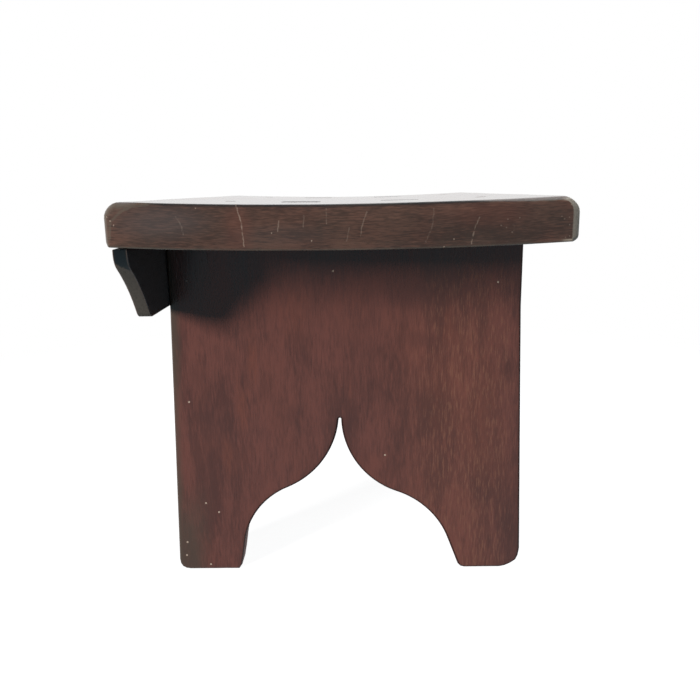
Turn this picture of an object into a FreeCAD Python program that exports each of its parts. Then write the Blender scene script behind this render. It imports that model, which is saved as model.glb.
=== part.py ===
import FreeCAD, Part
import math
import os
from collections import namedtuple
from enum import IntEnum

import Sketcher

# Board footstool: one thick cupped top, two upright leg boards with an ogee arch sawn out of the
# foot, and one thin apron under the left edge. Each leg has two through tenons, locked by wedges.
# Nails hold the outer parts of the shoulders and the apron.
# Frame: origin on the floor under the middle of the top, +Z up, +Y along the top from the front
# end to the rear end, +X to the right as seen from the front end. Lengths are in millimetres.

# Driving dimensions: alias, value, what it sets
DIMENSIONS = (
    ("top_length", 350.0, "top board, end to end"),
    ("top_width", 232.6, "top board, edge to edge"),
    ("top_thickness", 22.5, "top board"),
    ("seat_height", 237.0, "floor to the top face, on its middle line"),
    ("cup_radius", 2350.0, "hollow of the cupped top face"),
    ("top_edge_round", 8.0, "long upper edges of the top board"),
    ("under_edge_round", 5.0, "long lower edges of the top board"),
    ("end_edge_round", 1.4, "edges round both ends of the top board"),
    ("top_corner_round", 4.5, "upright corners of the top board"),
    ("leg_setback", 74.0, "end of the top board to the outer face of a leg"),
    ("leg_thickness", 15.0, "leg boards"),
    ("side_overhang", 10.0, "long edge of the top board to the side of a leg"),
    ("foot_flare", 5.8, "how much further out a leg stands on the floor"),
    ("flare_gap", 3.0, "lower edge of the apron down to where the leg starts to widen"),
    ("foot_corner_round", 5.0, "outer corners of the feet"),
    ("foot_inner_round", 2.5, "inner corners of the feet"),
    ("leg_edge_ease", 1.3, "broken edges of the leg boards' faces"),
    ("arch_height", 103.8, "floor to the cusp of the arch"),
    ("cusp_offset", 4.3, "cusp of the arch, to the left of the middle"),
    ("cusp_width", 1.6, "rounded tip of the cusp"),
    ("left_foot_gap", 70.5, "middle to the left foot, on the floor"),
    ("left_waist_reach", 38.8, "middle to where the left curve turns over"),
    ("left_waist_height", 57.2, "floor to where the left curve turns over"),
    ("left_upper_radius", 55.4, "left curve, from the cusp to its turn"),
    ("left_lower_radius", 48.1, "left curve, from its turn to the foot"),
    ("right_foot_gap", 72.1, "middle to the right foot, on the floor"),
    ("right_waist_reach", 31.5, "middle to where the right curve turns over"),
    ("right_waist_height", 53.8, "floor to where the right curve turns over"),
    ("right_upper_radius", 53.2, "right curve, from the cusp to its turn"),
    ("right_lower_radius", 55.4, "right curve, from its turn to the foot"),
    ("tenon_width", 22.0, "each through tenon"),
    ("tenon_stand", 0.4, "how far the tenons stand out of the shrunken top board"),
    ("left_tenon_reach", 25.2, "middle to the left tenon"),
    ("right_tenon_reach", 33.5, "middle to the right tenon"),
    ("tenon_root", 12.0, "how far a tenon is rooted below the shoulder"),
    ("joint_clearance", 0.1, "tenon to mortise, and shoulder to the top's underside"),
    ("wedge_thickness", 3.0, "thick end of a wedge"),
    ("wedge_tip", 0.8, "thin end of a wedge"),
    ("wedge_length", 16.0, "wedge, driven down from the top face"),
    ("wedge_clearance", 0.05, "wedge to the walls of its kerf"),
    ("apron_thickness", 7.6, "apron board"),
    ("apron_height", 40.5, "apron board"),
    ("apron_end_gap", 4.4, "end of the top board to the end of the apron"),
    ("apron_nose_drop", 3.0, "upright nose at each end of the apron"),
    ("apron_nose_radius", 10.0, "round under the nose"),
    ("apron_cove_radius", 60.0, "hollow from the round to the lower edge"),
    ("apron_cut", 31.6, "nose to where the lower edge begins"),
    ("apron_corner_round", 3.0, "ends of the apron's lower edge"),
    ("apron_edge_ease", 0.8, "broken edges of the apron's faces"),
    ("nail_shank_width", 2.6, "square cut nails"),
    ("nail_point", 6.0, "tapered point of a nail"),
    ("nail_tip_width", 0.9, "blunt end of a nail's point"),
    ("nail_head_height", 1.2, "nail heads"),
    ("nail_clearance", 0.05, "nail to the walls of its hole"),
    ("top_nail_head_width", 5.6, "nails of the top"),
    ("top_nail_length", 46.0, "nails of the top"),
    ("top_nail_sink", 0.6, "nail heads below the top face"),
    ("left_nail_inset", 39.0, "left side of a leg to its nail of the top"),
    ("right_nail_inset", 24.9, "right side of a leg to its nail of the top"),
    ("apron_nail_head_width", 4.4, "nails of the apron"),
    ("apron_nail_length", 32.0, "nails of the apron"),
    ("apron_nail_sink", 0.3, "nail heads below the apron's face"),
    ("apron_nail_drop", 11.0, "top of the apron to its upper nails"),
    ("apron_nail_spacing", 17.0, "upper to lower nail of the apron"),
)

doc = FreeCAD.newDocument("footstool")
sheet = doc.addObject("Spreadsheet::Sheet", "Sizes")
for row, (alias, number, meaning) in enumerate(DIMENSIONS, start=1):
    sheet.set(f"A{row}", meaning)
    sheet.set(f"B{row}", str(number))
    sheet.setAlias(f"B{row}", alias)
doc.recompute()


def face_height(radius, reach):
    """Height of a cupped face of that radius, that far to the side of the middle line."""
    return f"({CUP_CENTRE} - sqrt(({radius}) ^ 2 - ({reach}) ^ 2))"


# Places worked out from the driving dimensions
CUP_CENTRE = "(Sizes.seat_height + Sizes.cup_radius)"
TOP_FACE = "Sizes.cup_radius"
UNDERSIDE = "(Sizes.cup_radius + Sizes.top_thickness)"
SHOULDER = f"({UNDERSIDE} + Sizes.joint_clearance)"
HALF_SHOULDER = "(Sizes.top_width / 2 - Sizes.side_overhang)"
HALF_FOOT = f"({HALF_SHOULDER} + Sizes.foot_flare)"
LEG_MIDDLE = "(Sizes.top_length / 2 - Sizes.leg_setback - Sizes.leg_thickness / 2)"
TENON_END = "(Sizes.cup_radius - Sizes.tenon_stand)"
TENONS = {"left": "(-Sizes.left_tenon_reach)", "right": "(Sizes.right_tenon_reach)"}
WEDGE_TOP = "(Sizes.seat_height + Sizes.tenon_stand)"
APRON_TOP = face_height(SHOULDER, HALF_SHOULDER)
APRON_BOTTOM = f"({APRON_TOP} - Sizes.apron_height)"
APRON_OUTSIDE = f"({HALF_SHOULDER} + Sizes.apron_thickness)"
TOP_NAILS = {
    "left": f"(Sizes.left_nail_inset - {HALF_SHOULDER})",
    "right": f"({HALF_SHOULDER} - Sizes.right_nail_inset)",
}
TOP_NAIL_TOP = f"({face_height(TOP_FACE, TOP_NAILS['left'])} - Sizes.top_nail_sink)"
TOP_NAIL_SEAT = f"({TOP_NAIL_TOP} - Sizes.nail_head_height)"
SHANK_HOLE = "Sizes.nail_shank_width + 2 * Sizes.nail_clearance"
APRON_NAIL_SEAT = f"({APRON_OUTSIDE} - Sizes.apron_nail_sink - Sizes.nail_head_height)"
APRON_NAIL_HEIGHTS = (
    f"({APRON_TOP} - Sizes.apron_nail_drop)",
    f"({APRON_TOP} - Sizes.apron_nail_drop - Sizes.apron_nail_spacing)",
)

TOLERANCE = 1e-4

Edge = namedtuple("Edge", "index first last")


class Axis(IntEnum):
    """Sketcher's own numbers for a sketch's axes. The first one stands for its origin too."""

    CROSS = -1
    UP = -2


class Point(IntEnum):
    """Sketcher's own numbers for the points of an edge."""

    START = 1
    END = 2
    CENTRE = 3


def value(expression):
    """The number that an expression on the sheet gives now."""
    result = sheet.evalExpression(expression)
    return float(getattr(result, "Value", result))


def polar(centre, radius, heading):
    """The point at that distance and heading from a centre."""
    return (centre[0] + radius * math.cos(heading), centre[1] + radius * math.sin(heading))


def heading_to(centre, point):
    return math.atan2(point[1] - centre[1], point[0] - centre[0])


def whole_circle(centre, radius):
    return Part.Circle(FreeCAD.Vector(*centre, 0), FreeCAD.Vector(0, 0, 1), radius)


def origin_plane(body, role):
    return next(feature for feature in body.Origin.OriginFeatures if feature.Role == role)


class Outline:
    """A sketch drawn as chains of lines and arcs, whose points and radii are bound to the sheet."""

    def __init__(self, body, plane, name, offset=None):
        self.sketch = body.newObject("Sketcher::SketchObject", name)
        self.sketch.AttachmentSupport = [(origin_plane(body, plane), "")]
        self.sketch.MapMode = "FlatFace"
        if offset is not None:
            self.sketch.setExpression("AttachmentOffset.Base.z", offset)

    def line(self, start, end):
        segment = Part.LineSegment(FreeCAD.Vector(*start, 0), FreeCAD.Vector(*end, 0))
        return Edge(self.sketch.addGeometry(segment), Point.START, Point.END)

    def arc(self, start, end, centre):
        """The shorter arc from start to end round that centre."""
        begin = heading_to(centre, start)
        finish = heading_to(centre, end)
        counter_clockwise = (finish - begin) % (2 * math.pi) < math.pi + TOLERANCE
        if not counter_clockwise:
            begin, finish = finish, begin
        circle = whole_circle(centre, math.dist(start, centre))
        index = self.sketch.addGeometry(Part.ArcOfCircle(circle, begin, finish))
        ends = (Point.START, Point.END) if counter_clockwise else (Point.END, Point.START)
        return Edge(index, *ends)

    def close(self, edges, smooth=()):
        """Joins each edge to the next. Those in smooth run into the next one without a corner."""
        for place, edge in enumerate(edges):
            following = edges[(place + 1) % len(edges)]
            kind = "Tangent" if edge in smooth else "Coincident"
            ends = (edge.index, edge.last, following.index, following.first)
            self.sketch.addConstraint(Sketcher.Constraint(kind, *ends))

    def bind(self, constraint, expression):
        index = self.sketch.addConstraint(constraint)
        name = f"size_{index}"
        self.sketch.renameConstraint(index, name)
        self.sketch.setExpression(f"Constraints.{name}", expression)

    def across(self, index, point, expression):
        self.pin("DistanceX", index, point, expression)

    def up(self, index, point, expression):
        self.pin("DistanceY", index, point, expression)

    def pin(self, kind, index, point, expression):
        """Binds one coordinate of a point, measured towards its own side of the sketch's origin."""
        wanted = value(expression)
        origin = (Axis.CROSS, Point.START)
        if wanted < 0:
            self.bind(Sketcher.Constraint(kind, index, point, *origin, -wanted), f"-({expression})")
        else:
            self.bind(Sketcher.Constraint(kind, *origin, index, point, wanted), expression)

    def on_axis(self, index, point, axis):
        self.sketch.addConstraint(Sketcher.Constraint("PointOnObject", index, point, axis))

    def radius(self, index, expression):
        self.bind(Sketcher.Constraint("Radius", index, value(expression)), expression)

    def cup_centre(self, index, radius):
        """Makes an arc part of a cupped face."""
        self.on_axis(index, Point.CENTRE, Axis.UP)
        self.up(index, Point.CENTRE, CUP_CENTRE)
        self.radius(index, radius)

    def polygon(self, points):
        """A closed chain of lines through points that are given as pairs of expressions."""
        corners = [(value(across), value(up)) for across, up in points]
        edges = [self.line(a, b) for a, b in zip(corners, corners[1:] + corners[:1])]
        self.close(edges)
        for edge, (across, up) in zip(edges, points):
            self.across(edge.index, edge.first, across)
            self.up(edge.index, edge.first, up)

    def rectangle(self, across, up, width, height):
        """A rectangle of that size round a middle that is given as a pair of expressions."""
        left, right = f"({across} - ({width}) / 2)", f"({across} + ({width}) / 2)"
        low, high = f"({up} - ({height}) / 2)", f"({up} + ({height}) / 2)"
        self.polygon([(left, low), (right, low), (right, high), (left, high)])

    def square(self, across, up, width):
        self.rectangle(across, up, width, width)


def new_body(label, **place):
    """A body that is moved along x, y or z by an expression."""
    body = doc.addObject("PartDesign::Body", label)
    body.Label = label
    for axis, expression in place.items():
        body.setExpression(f"Placement.Base.{axis}", expression)
    return body


def pad(body, outline, name, length, symmetric=True, downwards=False, taper=None):
    feature = body.newObject("PartDesign::Pad", name)
    feature.Profile = outline.sketch
    feature.SideType = "Symmetric" if symmetric else "One side"
    feature.Reversed = downwards
    feature.setExpression("Length", length)
    if taper is not None:
        feature.setExpression("TaperAngle", taper)
    doc.recompute()
    return feature


def cut(body, outline, name, depth=None, both_ways=False, along_normal=False):
    """A pocket of that depth, or right through. It stops the build if nothing is cut."""
    before = body.Shape.Volume
    feature = body.newObject("PartDesign::Pocket", name)
    feature.Profile = outline.sketch
    feature.SideType = "Symmetric" if both_ways else "One side"
    feature.Reversed = along_normal
    if depth is None:
        feature.Type = "ThroughAll"
    else:
        feature.setExpression("Length", depth)
    doc.recompute()
    if body.Shape.Volume > before - TOLERANCE:
        raise RuntimeError(f"{name} cuts nothing")
    return feature


def work_edges(body, kind, name, chosen, size, expression):
    """A fillet or chamfer on the edges of the body's last feature for which chosen is true."""
    base = body.Tip
    names = [f"Edge{place}" for place, edge in enumerate(base.Shape.Edges, start=1) if chosen(edge)]
    if not names:
        raise RuntimeError(f"{name} finds no edge")
    feature = body.newObject(kind, name)
    feature.Base = (base, names)
    feature.setExpression(size, expression)
    doc.recompute()
    return feature


def round_edges(body, name, radius, chosen):
    return work_edges(body, "PartDesign::Fillet", name, chosen, "Radius", radius)


def break_edges(body, name, width, chosen):
    return work_edges(body, "PartDesign::Chamfer", name, chosen, "Size", width)


def runs_along(edge, axis):
    """True for a straight edge along that axis."""
    if not isinstance(edge.Curve, Part.Line):
        return False
    return abs(abs(getattr(edge.Curve.Direction, axis)) - 1) < TOLERANCE


def lies_at(edge, axis, place):
    """True for an edge that lies in the plane at that place on the axis."""
    box = edge.BoundBox
    low, high = getattr(box, axis + "Min"), getattr(box, axis + "Max")
    return abs(low - place) < TOLERANCE and abs(high - place) < TOLERANCE


def mirrored(expression):
    return f"-({expression})"


def draw_corner(outline, across, along):
    """The waste at one upright corner of the top board, from its rounded corner outwards."""
    end_x, end_y = f"({across} * Sizes.top_width / 2)", f"({along} * Sizes.top_length / 2)"
    start_x = f"({end_x} - {across} * Sizes.top_corner_round)"
    start_y = f"({end_y} - {along} * Sizes.top_corner_round)"
    outer_x = f"({end_x} + {across} * Sizes.top_corner_round)"
    outer_y = f"({end_y} + {along} * Sizes.top_corner_round)"
    points = [
        (start_x, end_y), (start_x, outer_y), (outer_x, outer_y), (outer_x, start_y), (end_x, start_y),
    ]
    places = [(value(x), value(y)) for x, y in points]
    edges = [outline.line(a, b) for a, b in zip(places, places[1:])]
    edges.append(outline.arc(places[-1], places[0], (value(start_x), value(start_y))))
    outline.close(edges)
    for edge, (x, y) in zip(edges, points):
        outline.across(edge.index, edge.first, x)
        outline.up(edge.index, edge.first, y)
    outline.radius(edges[-1].index, "Sizes.top_corner_round")


def make_top_board():
    """The seat: a cupped plank with rounded edges, mortised and nailed to the legs."""
    body = new_body("top_board")
    half_width = "(Sizes.top_width / 2)"
    side = value(half_width)
    centre = (0.0, value(CUP_CENTRE))
    low = value(face_height(UNDERSIDE, half_width))
    high = value(face_height(TOP_FACE, half_width))
    section = Outline(body, "XZ_Plane", "cupped_section")
    under = section.arc((-side, low), (side, low), centre)
    right = section.line((side, low), (side, high))
    upper = section.arc((side, high), (-side, high), centre)
    left = section.line((-side, high), (-side, low))
    section.close([under, right, upper, left])
    for edge, radius in ((under, UNDERSIDE), (upper, TOP_FACE)):
        section.cup_centre(edge.index, radius)
    for edge, reach in ((under, mirrored(half_width)), (right, half_width)):
        section.across(edge.index, edge.first, reach)
    for edge, reach in ((upper, half_width), (left, mirrored(half_width))):
        section.across(edge.index, edge.first, reach)
    pad(body, section, "plank", "Sizes.top_length")

    middle = (low + high) / 2
    half_length = value("Sizes.top_length / 2")
    round_edges(body, "upper_rounds", "Sizes.top_edge_round",
                lambda edge: runs_along(edge, "y") and edge.CenterOfMass.z > middle)
    round_edges(body, "lower_rounds", "Sizes.under_edge_round",
                lambda edge: runs_along(edge, "y") and lies_at(edge, "Z", low))
    round_edges(body, "end_rounds", "Sizes.end_edge_round",
                lambda edge: lies_at(edge, "Y", half_length) or lies_at(edge, "Y", -half_length))

    corners = Outline(body, "XY_Plane", "corner_plan")
    for across in (1, -1):
        for along in (1, -1):
            draw_corner(corners, across, along)
    cut(body, corners, "rounded_corners", both_ways=True)

    mortises = Outline(body, "XY_Plane", "mortise_plan")
    nail_holes = Outline(body, "XY_Plane", "nail_plan")
    nail_heads = Outline(body, "XY_Plane", "nail_head_plan", TOP_NAIL_SEAT)
    fit = "Sizes.joint_clearance"
    for leg in (mirrored(LEG_MIDDLE), LEG_MIDDLE):
        for tenon in TENONS.values():
            width, depth = f"Sizes.tenon_width + 2 * {fit}", f"Sizes.leg_thickness + 2 * {fit}"
            mortises.rectangle(tenon, leg, width, depth)
        for reach in TOP_NAILS.values():
            nail_holes.square(reach, leg, SHANK_HOLE)
            nail_heads.square(reach, leg, "Sizes.top_nail_head_width + 2 * Sizes.nail_clearance")
    cut(body, mortises, "mortises", both_ways=True)
    cut(body, nail_holes, "nail_holes", both_ways=True)
    cut(body, nail_heads, "nail_head_seats", along_normal=True)
    return body


def arch_side(side, foot, cusp):
    """One side of the arch: its turning point, the end of its lower arc and the arcs' centres."""
    sign = -1 if side == "left" else 1
    waist = (sign * value(f"Sizes.{side}_waist_reach"), value(f"Sizes.{side}_waist_height"))
    upper = value(f"Sizes.{side}_upper_radius")
    lower = value(f"Sizes.{side}_lower_radius")
    chord = math.dist(cusp, waist)
    rise = math.sqrt(upper ** 2 - chord ** 2 / 4)
    normal = (-(waist[1] - cusp[1]) / chord * sign, (waist[0] - cusp[0]) / chord * sign)
    upper_centre = tuple((a + b) / 2 + rise * n for a, b, n in zip(cusp, waist, normal))
    lower_centre = tuple(w + (w - c) / upper * lower for w, c in zip(waist, upper_centre))
    turn = sign * math.acos(lower / math.dist(foot, lower_centre))
    ending = polar(lower_centre, lower, heading_to(lower_centre, foot) + turn)
    return waist, ending, upper_centre, lower_centre


def draw_leg(outline):
    """The leg board's outline: feet, ogee arch, flared sides and a shoulder that fits the top."""
    half_shoulder = value(HALF_SHOULDER)
    half_foot = value(HALF_FOOT)
    shoulder_end = value(face_height(SHOULDER, HALF_SHOULDER))
    flare = value(f"{APRON_BOTTOM} - Sizes.flare_gap")
    tip = value("Sizes.cusp_width / 2")
    tip_height = "(Sizes.arch_height - Sizes.cusp_width / 2)"
    tip_centre = (-value("Sizes.cusp_offset"), value(tip_height))
    left_cusp = (tip_centre[0] - tip, tip_centre[1])
    right_cusp = (tip_centre[0] + tip, tip_centre[1])
    left_foot = (-value("Sizes.left_foot_gap"), 0.0)
    right_foot = (value("Sizes.right_foot_gap"), 0.0)
    left_waist, left_end, left_over, left_under = arch_side("left", left_foot, left_cusp)
    right_waist, right_end, right_over, right_under = arch_side("right", right_foot, right_cusp)

    cup_middle = (0.0, value(CUP_CENTRE))
    left_sole = outline.line((-half_foot, 0.0), left_foot)
    left_inside = outline.line(left_foot, left_end)
    left_lower = outline.arc(left_end, left_waist, left_under)
    left_upper = outline.arc(left_waist, left_cusp, left_over)
    tip_over_top = outline.arc(right_cusp, left_cusp, tip_centre)
    cusp = Edge(tip_over_top.index, tip_over_top.last, tip_over_top.first)
    right_upper = outline.arc(right_cusp, right_waist, right_over)
    right_lower = outline.arc(right_waist, right_end, right_under)
    right_inside = outline.line(right_end, right_foot)
    right_sole = outline.line(right_foot, (half_foot, 0.0))
    right_flare = outline.line((half_foot, 0.0), (half_shoulder, flare))
    right_side = outline.line((half_shoulder, flare), (half_shoulder, shoulder_end))
    shoulder = outline.arc((half_shoulder, shoulder_end), (-half_shoulder, shoulder_end), cup_middle)
    left_side = outline.line((-half_shoulder, shoulder_end), (-half_shoulder, flare))
    left_flare = outline.line((-half_shoulder, flare), (-half_foot, 0.0))
    outline.close(
        [left_sole, left_inside, left_lower, left_upper, cusp, right_upper, right_lower,
         right_inside, right_sole, right_flare, right_side, shoulder, left_side, left_flare],
        smooth=(left_inside, left_lower, right_upper, right_lower),
    )

    for edge, reach in (
        (left_sole, mirrored(HALF_FOOT)),
        (left_inside, mirrored("Sizes.left_foot_gap")),
        (right_sole, "Sizes.right_foot_gap"),
        (right_flare, HALF_FOOT),
    ):
        outline.across(edge.index, edge.first, reach)
        outline.on_axis(edge.index, edge.first, Axis.CROSS)
    for edge, side in ((left_upper, "left"), (right_lower, "right")):
        reach = f"Sizes.{side}_waist_reach"
        outline.across(edge.index, edge.first, mirrored(reach) if side == "left" else reach)
        outline.up(edge.index, edge.first, f"Sizes.{side}_waist_height")
    for side, upper, lower in (("left", left_upper, left_lower), ("right", right_upper, right_lower)):
        outline.radius(upper.index, f"Sizes.{side}_upper_radius")
        outline.radius(lower.index, f"Sizes.{side}_lower_radius")
    outline.across(cusp.index, Point.CENTRE, mirrored("Sizes.cusp_offset"))
    for point in Point:
        outline.up(cusp.index, point, tip_height)
    outline.radius(cusp.index, "Sizes.cusp_width / 2")
    for edge, reach in ((right_side, HALF_SHOULDER), (left_flare, mirrored(HALF_SHOULDER))):
        outline.across(edge.index, edge.first, reach)
        outline.up(edge.index, edge.first, f"{APRON_BOTTOM} - Sizes.flare_gap")
    outline.cup_centre(shoulder.index, SHOULDER)
    for edge, reach in ((shoulder, HALF_SHOULDER), (left_side, mirrored(HALF_SHOULDER))):
        outline.across(edge.index, edge.first, reach)


def draw_tenons(outline):
    """Two tenons, rooted in the board, whose ends follow the hollow of the top face."""
    root = f"({CUP_CENTRE} - {SHOULDER} - Sizes.tenon_root)"
    base = value(root)
    centre = (0.0, value(CUP_CENTRE))
    for tenon in TENONS.values():
        left, right = f"({tenon} - Sizes.tenon_width / 2)", f"({tenon} + Sizes.tenon_width / 2)"
        start, end = value(left), value(right)
        start_top = value(face_height(TENON_END, left))
        end_top = value(face_height(TENON_END, right))
        sole = outline.line((start, base), (end, base))
        right_wall = outline.line((end, base), (end, end_top))
        crown = outline.arc((end, end_top), (start, start_top), centre)
        left_wall = outline.line((start, start_top), (start, base))
        outline.close([sole, right_wall, crown, left_wall])
        outline.cup_centre(crown.index, TENON_END)
        for edge, reach in ((sole, left), (right_wall, right), (crown, right), (left_wall, left)):
            outline.across(edge.index, edge.first, reach)
        for edge in (sole, right_wall):
            outline.up(edge.index, edge.first, root)


def make_leg(label, leg_place):
    """An upright board with two kerfed tenons, and holes for the nails of the top and the apron."""
    body = new_body(label, y=leg_place)
    board = Outline(body, "XZ_Plane", f"{label}_outline")
    draw_leg(board)
    pad(body, board, f"{label}_board", "Sizes.leg_thickness")
    tenons = Outline(body, "XZ_Plane", f"{label}_tenon_outline")
    draw_tenons(tenons)
    pad(body, tenons, f"{label}_tenons", "Sizes.leg_thickness")

    half_foot = value(HALF_FOOT)
    half_thickness = value("Sizes.leg_thickness / 2")
    below_shoulder = value(f"{CUP_CENTRE} - {SHOULDER} - Sizes.tenon_root / 2")
    sole_corners = (value("-Sizes.left_foot_gap"), value("Sizes.right_foot_gap"))
    round_edges(body, f"{label}_outer_corners", "Sizes.foot_corner_round",
                lambda edge: runs_along(edge, "y") and lies_at(edge, "Z", 0)
                and abs(abs(edge.CenterOfMass.x) - half_foot) < TOLERANCE)
    round_edges(body, f"{label}_inner_corners", "Sizes.foot_inner_round",
                lambda edge: runs_along(edge, "y") and lies_at(edge, "Z", 0)
                and min(abs(edge.CenterOfMass.x - corner) for corner in sole_corners) < TOLERANCE)
    break_edges(body, f"{label}_eased_edges", "Sizes.leg_edge_ease",
                lambda edge: (lies_at(edge, "Y", half_thickness) or lies_at(edge, "Y", -half_thickness))
                and edge.BoundBox.ZMin < below_shoulder)

    kerf = Outline(body, "YZ_Plane", f"{label}_kerf_section")
    wide = "(Sizes.wedge_thickness / 2 + Sizes.wedge_clearance)"
    narrow = "(Sizes.wedge_tip / 2 + Sizes.wedge_clearance)"
    floor = f"({WEDGE_TOP} - Sizes.wedge_length - Sizes.wedge_clearance)"
    above = f"({WEDGE_TOP} + Sizes.wedge_thickness)"
    kerf.polygon([
        (mirrored(narrow), floor), (narrow, floor), (wide, WEDGE_TOP),
        (wide, above), (mirrored(wide), above), (mirrored(wide), WEDGE_TOP),
    ])
    cut(body, kerf, f"{label}_kerfs", both_ways=True)

    pilot_floor = f"({TOP_NAIL_TOP} - Sizes.top_nail_length - Sizes.nail_clearance)"
    pilots = Outline(body, "XY_Plane", f"{label}_nail_plan", pilot_floor)
    for reach in TOP_NAILS.values():
        pilots.square(reach, "0", SHANK_HOLE)
    cut(body, pilots, f"{label}_nail_holes", along_normal=True)

    edge_holes = Outline(body, "YZ_Plane", f"{label}_edge_nail_plan", mirrored(HALF_SHOULDER))
    for height in APRON_NAIL_HEIGHTS:
        edge_holes.square("0", height, SHANK_HOLE)
    inside = f"{HALF_SHOULDER} - ({APRON_NAIL_SEAT} + Sizes.nail_head_height - Sizes.apron_nail_length)"
    cut(body, edge_holes, f"{label}_edge_nail_holes", f"{inside} + Sizes.nail_clearance", along_normal=True)
    return body


def make_apron():
    """A thin rail along the left edges of the legs, with an ogee sawn at each end."""
    body = new_body("side_apron", x=mirrored(APRON_OUTSIDE))
    outline = Outline(body, "YZ_Plane", "apron_outline")
    end = "(Sizes.top_length / 2 - Sizes.apron_end_gap)"
    nose_height = f"({APRON_TOP} - Sizes.apron_nose_drop)"
    heel = f"({end} - Sizes.apron_cut)"
    tip, top, nose, bottom = value(end), value(APRON_TOP), value(nose_height), value(APRON_BOTTOM)
    foot = value(heel)
    nose_radius = value("Sizes.apron_nose_radius")
    cove_radius = value("Sizes.apron_cove_radius")
    nose_centre = (tip - nose_radius, nose)
    span = math.dist(nose_centre, (foot, bottom))
    both = nose_radius + cove_radius
    opening = math.acos((both ** 2 + span ** 2 - cove_radius ** 2) / (2 * both * span))
    heading = heading_to(nose_centre, (foot, bottom)) + opening
    turn = polar(nose_centre, nose_radius, heading)
    cove_centre = polar(nose_centre, both, heading)

    def front(point):
        return (-point[0], point[1])

    ridge = outline.line((-tip, top), (tip, top))
    rear_nose = outline.line((tip, top), (tip, nose))
    rear_round = outline.arc((tip, nose), turn, nose_centre)
    rear_cove = outline.arc(turn, (foot, bottom), cove_centre)
    sole = outline.line((foot, bottom), (-foot, bottom))
    front_cove = outline.arc((-foot, bottom), front(turn), front(cove_centre))
    front_round = outline.arc(front(turn), (-tip, nose), front(nose_centre))
    front_nose = outline.line((-tip, nose), (-tip, top))
    outline.close(
        [ridge, rear_nose, rear_round, rear_cove, sole, front_cove, front_round, front_nose],
        smooth=(rear_nose, rear_round, front_cove, front_round),
    )
    for edge, reach, height in (
        (ridge, mirrored(end), APRON_TOP),
        (rear_nose, end, APRON_TOP),
        (rear_round, end, nose_height),
        (sole, heel, APRON_BOTTOM),
        (front_cove, mirrored(heel), APRON_BOTTOM),
        (front_nose, mirrored(end), nose_height),
    ):
        outline.across(edge.index, edge.first, reach)
        outline.up(edge.index, edge.first, height)
    for edge in (rear_round, front_round):
        outline.radius(edge.index, "Sizes.apron_nose_radius")
    for edge in (rear_cove, front_cove):
        outline.radius(edge.index, "Sizes.apron_cove_radius")
    pad(body, outline, "apron_board", "Sizes.apron_thickness", symmetric=False)

    thickness = value("Sizes.apron_thickness")
    round_edges(body, "apron_corners", "Sizes.apron_corner_round",
                lambda edge: runs_along(edge, "x") and lies_at(edge, "Z", bottom))
    break_edges(body, "apron_eased_edges", "Sizes.apron_edge_ease",
                lambda edge: (lies_at(edge, "X", 0) or lies_at(edge, "X", thickness))
                and not lies_at(edge, "Z", top))

    holes = Outline(body, "YZ_Plane", "apron_nail_plan")
    seats = Outline(body, "YZ_Plane", "apron_nail_head_plan", f"{APRON_OUTSIDE} - {APRON_NAIL_SEAT}")
    for leg in (mirrored(LEG_MIDDLE), LEG_MIDDLE):
        for height in APRON_NAIL_HEIGHTS:
            holes.square(leg, height, SHANK_HOLE)
            seats.square(leg, height, "Sizes.apron_nail_head_width + 2 * Sizes.nail_clearance")
    cut(body, holes, "apron_nail_holes", along_normal=True)
    cut(body, seats, "apron_nail_head_seats")
    return body


def make_wedge(label, reach, leg_place):
    """A tapered slip driven into a tenon's kerf until it is level with the hollow of the tenons."""
    body = new_body(label, x=reach, y=leg_place)
    section = Outline(body, "YZ_Plane", f"{label}_section")
    wide = "(Sizes.wedge_thickness / 2)"
    narrow = "(Sizes.wedge_tip / 2)"
    tip = f"({WEDGE_TOP} - Sizes.wedge_length)"
    section.polygon([
        (mirrored(narrow), tip), (narrow, tip), (wide, WEDGE_TOP), (mirrored(wide), WEDGE_TOP),
    ])
    pad(body, section, f"{label}_slip", "Sizes.tenon_width")
    return body


def make_nail(label, head_width, length, turn, **place):
    """A square cut nail, head up before it is turned: its place is the middle of its head's face."""
    body = new_body(label, **place)
    body.Placement = FreeCAD.Placement(FreeCAD.Vector(0, 0, 0), turn)
    head = Outline(body, "XY_Plane", f"{label}_head_plan")
    head.square("0", "0", head_width)
    pad(body, head, f"{label}_head", "Sizes.nail_head_height", symmetric=False, downwards=True)
    shank = Outline(body, "XY_Plane", f"{label}_shank_plan")
    shank.square("0", "0", "Sizes.nail_shank_width")
    shank_length = f"({length} - Sizes.nail_point)"
    pad(body, shank, f"{label}_shank", shank_length, symmetric=False, downwards=True)
    point = Outline(body, "XY_Plane", f"{label}_point_plan", mirrored(shank_length))
    point.square("0", "0", "Sizes.nail_shank_width")
    taper = "-atan((Sizes.nail_shank_width - Sizes.nail_tip_width) / 2 / Sizes.nail_point)"
    pad(body, point, f"{label}_point", "Sizes.nail_point", symmetric=False, downwards=True, taper=taper)
    return body


def make_group(label, members):
    group = doc.addObject("Part::Compound", label)
    group.Label = label
    group.Links = members
    return group


def make_top_nails(legs):
    upright = FreeCAD.Rotation()
    nails = []
    for end, leg_place in legs:
        for side, reach in TOP_NAILS.items():
            nails.append(make_nail(
                f"top_nail_{end}_{side}", "Sizes.top_nail_head_width", "Sizes.top_nail_length", upright,
                x=reach, y=leg_place, z=TOP_NAIL_TOP,
            ))
    return make_group("top_nails", nails)


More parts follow.
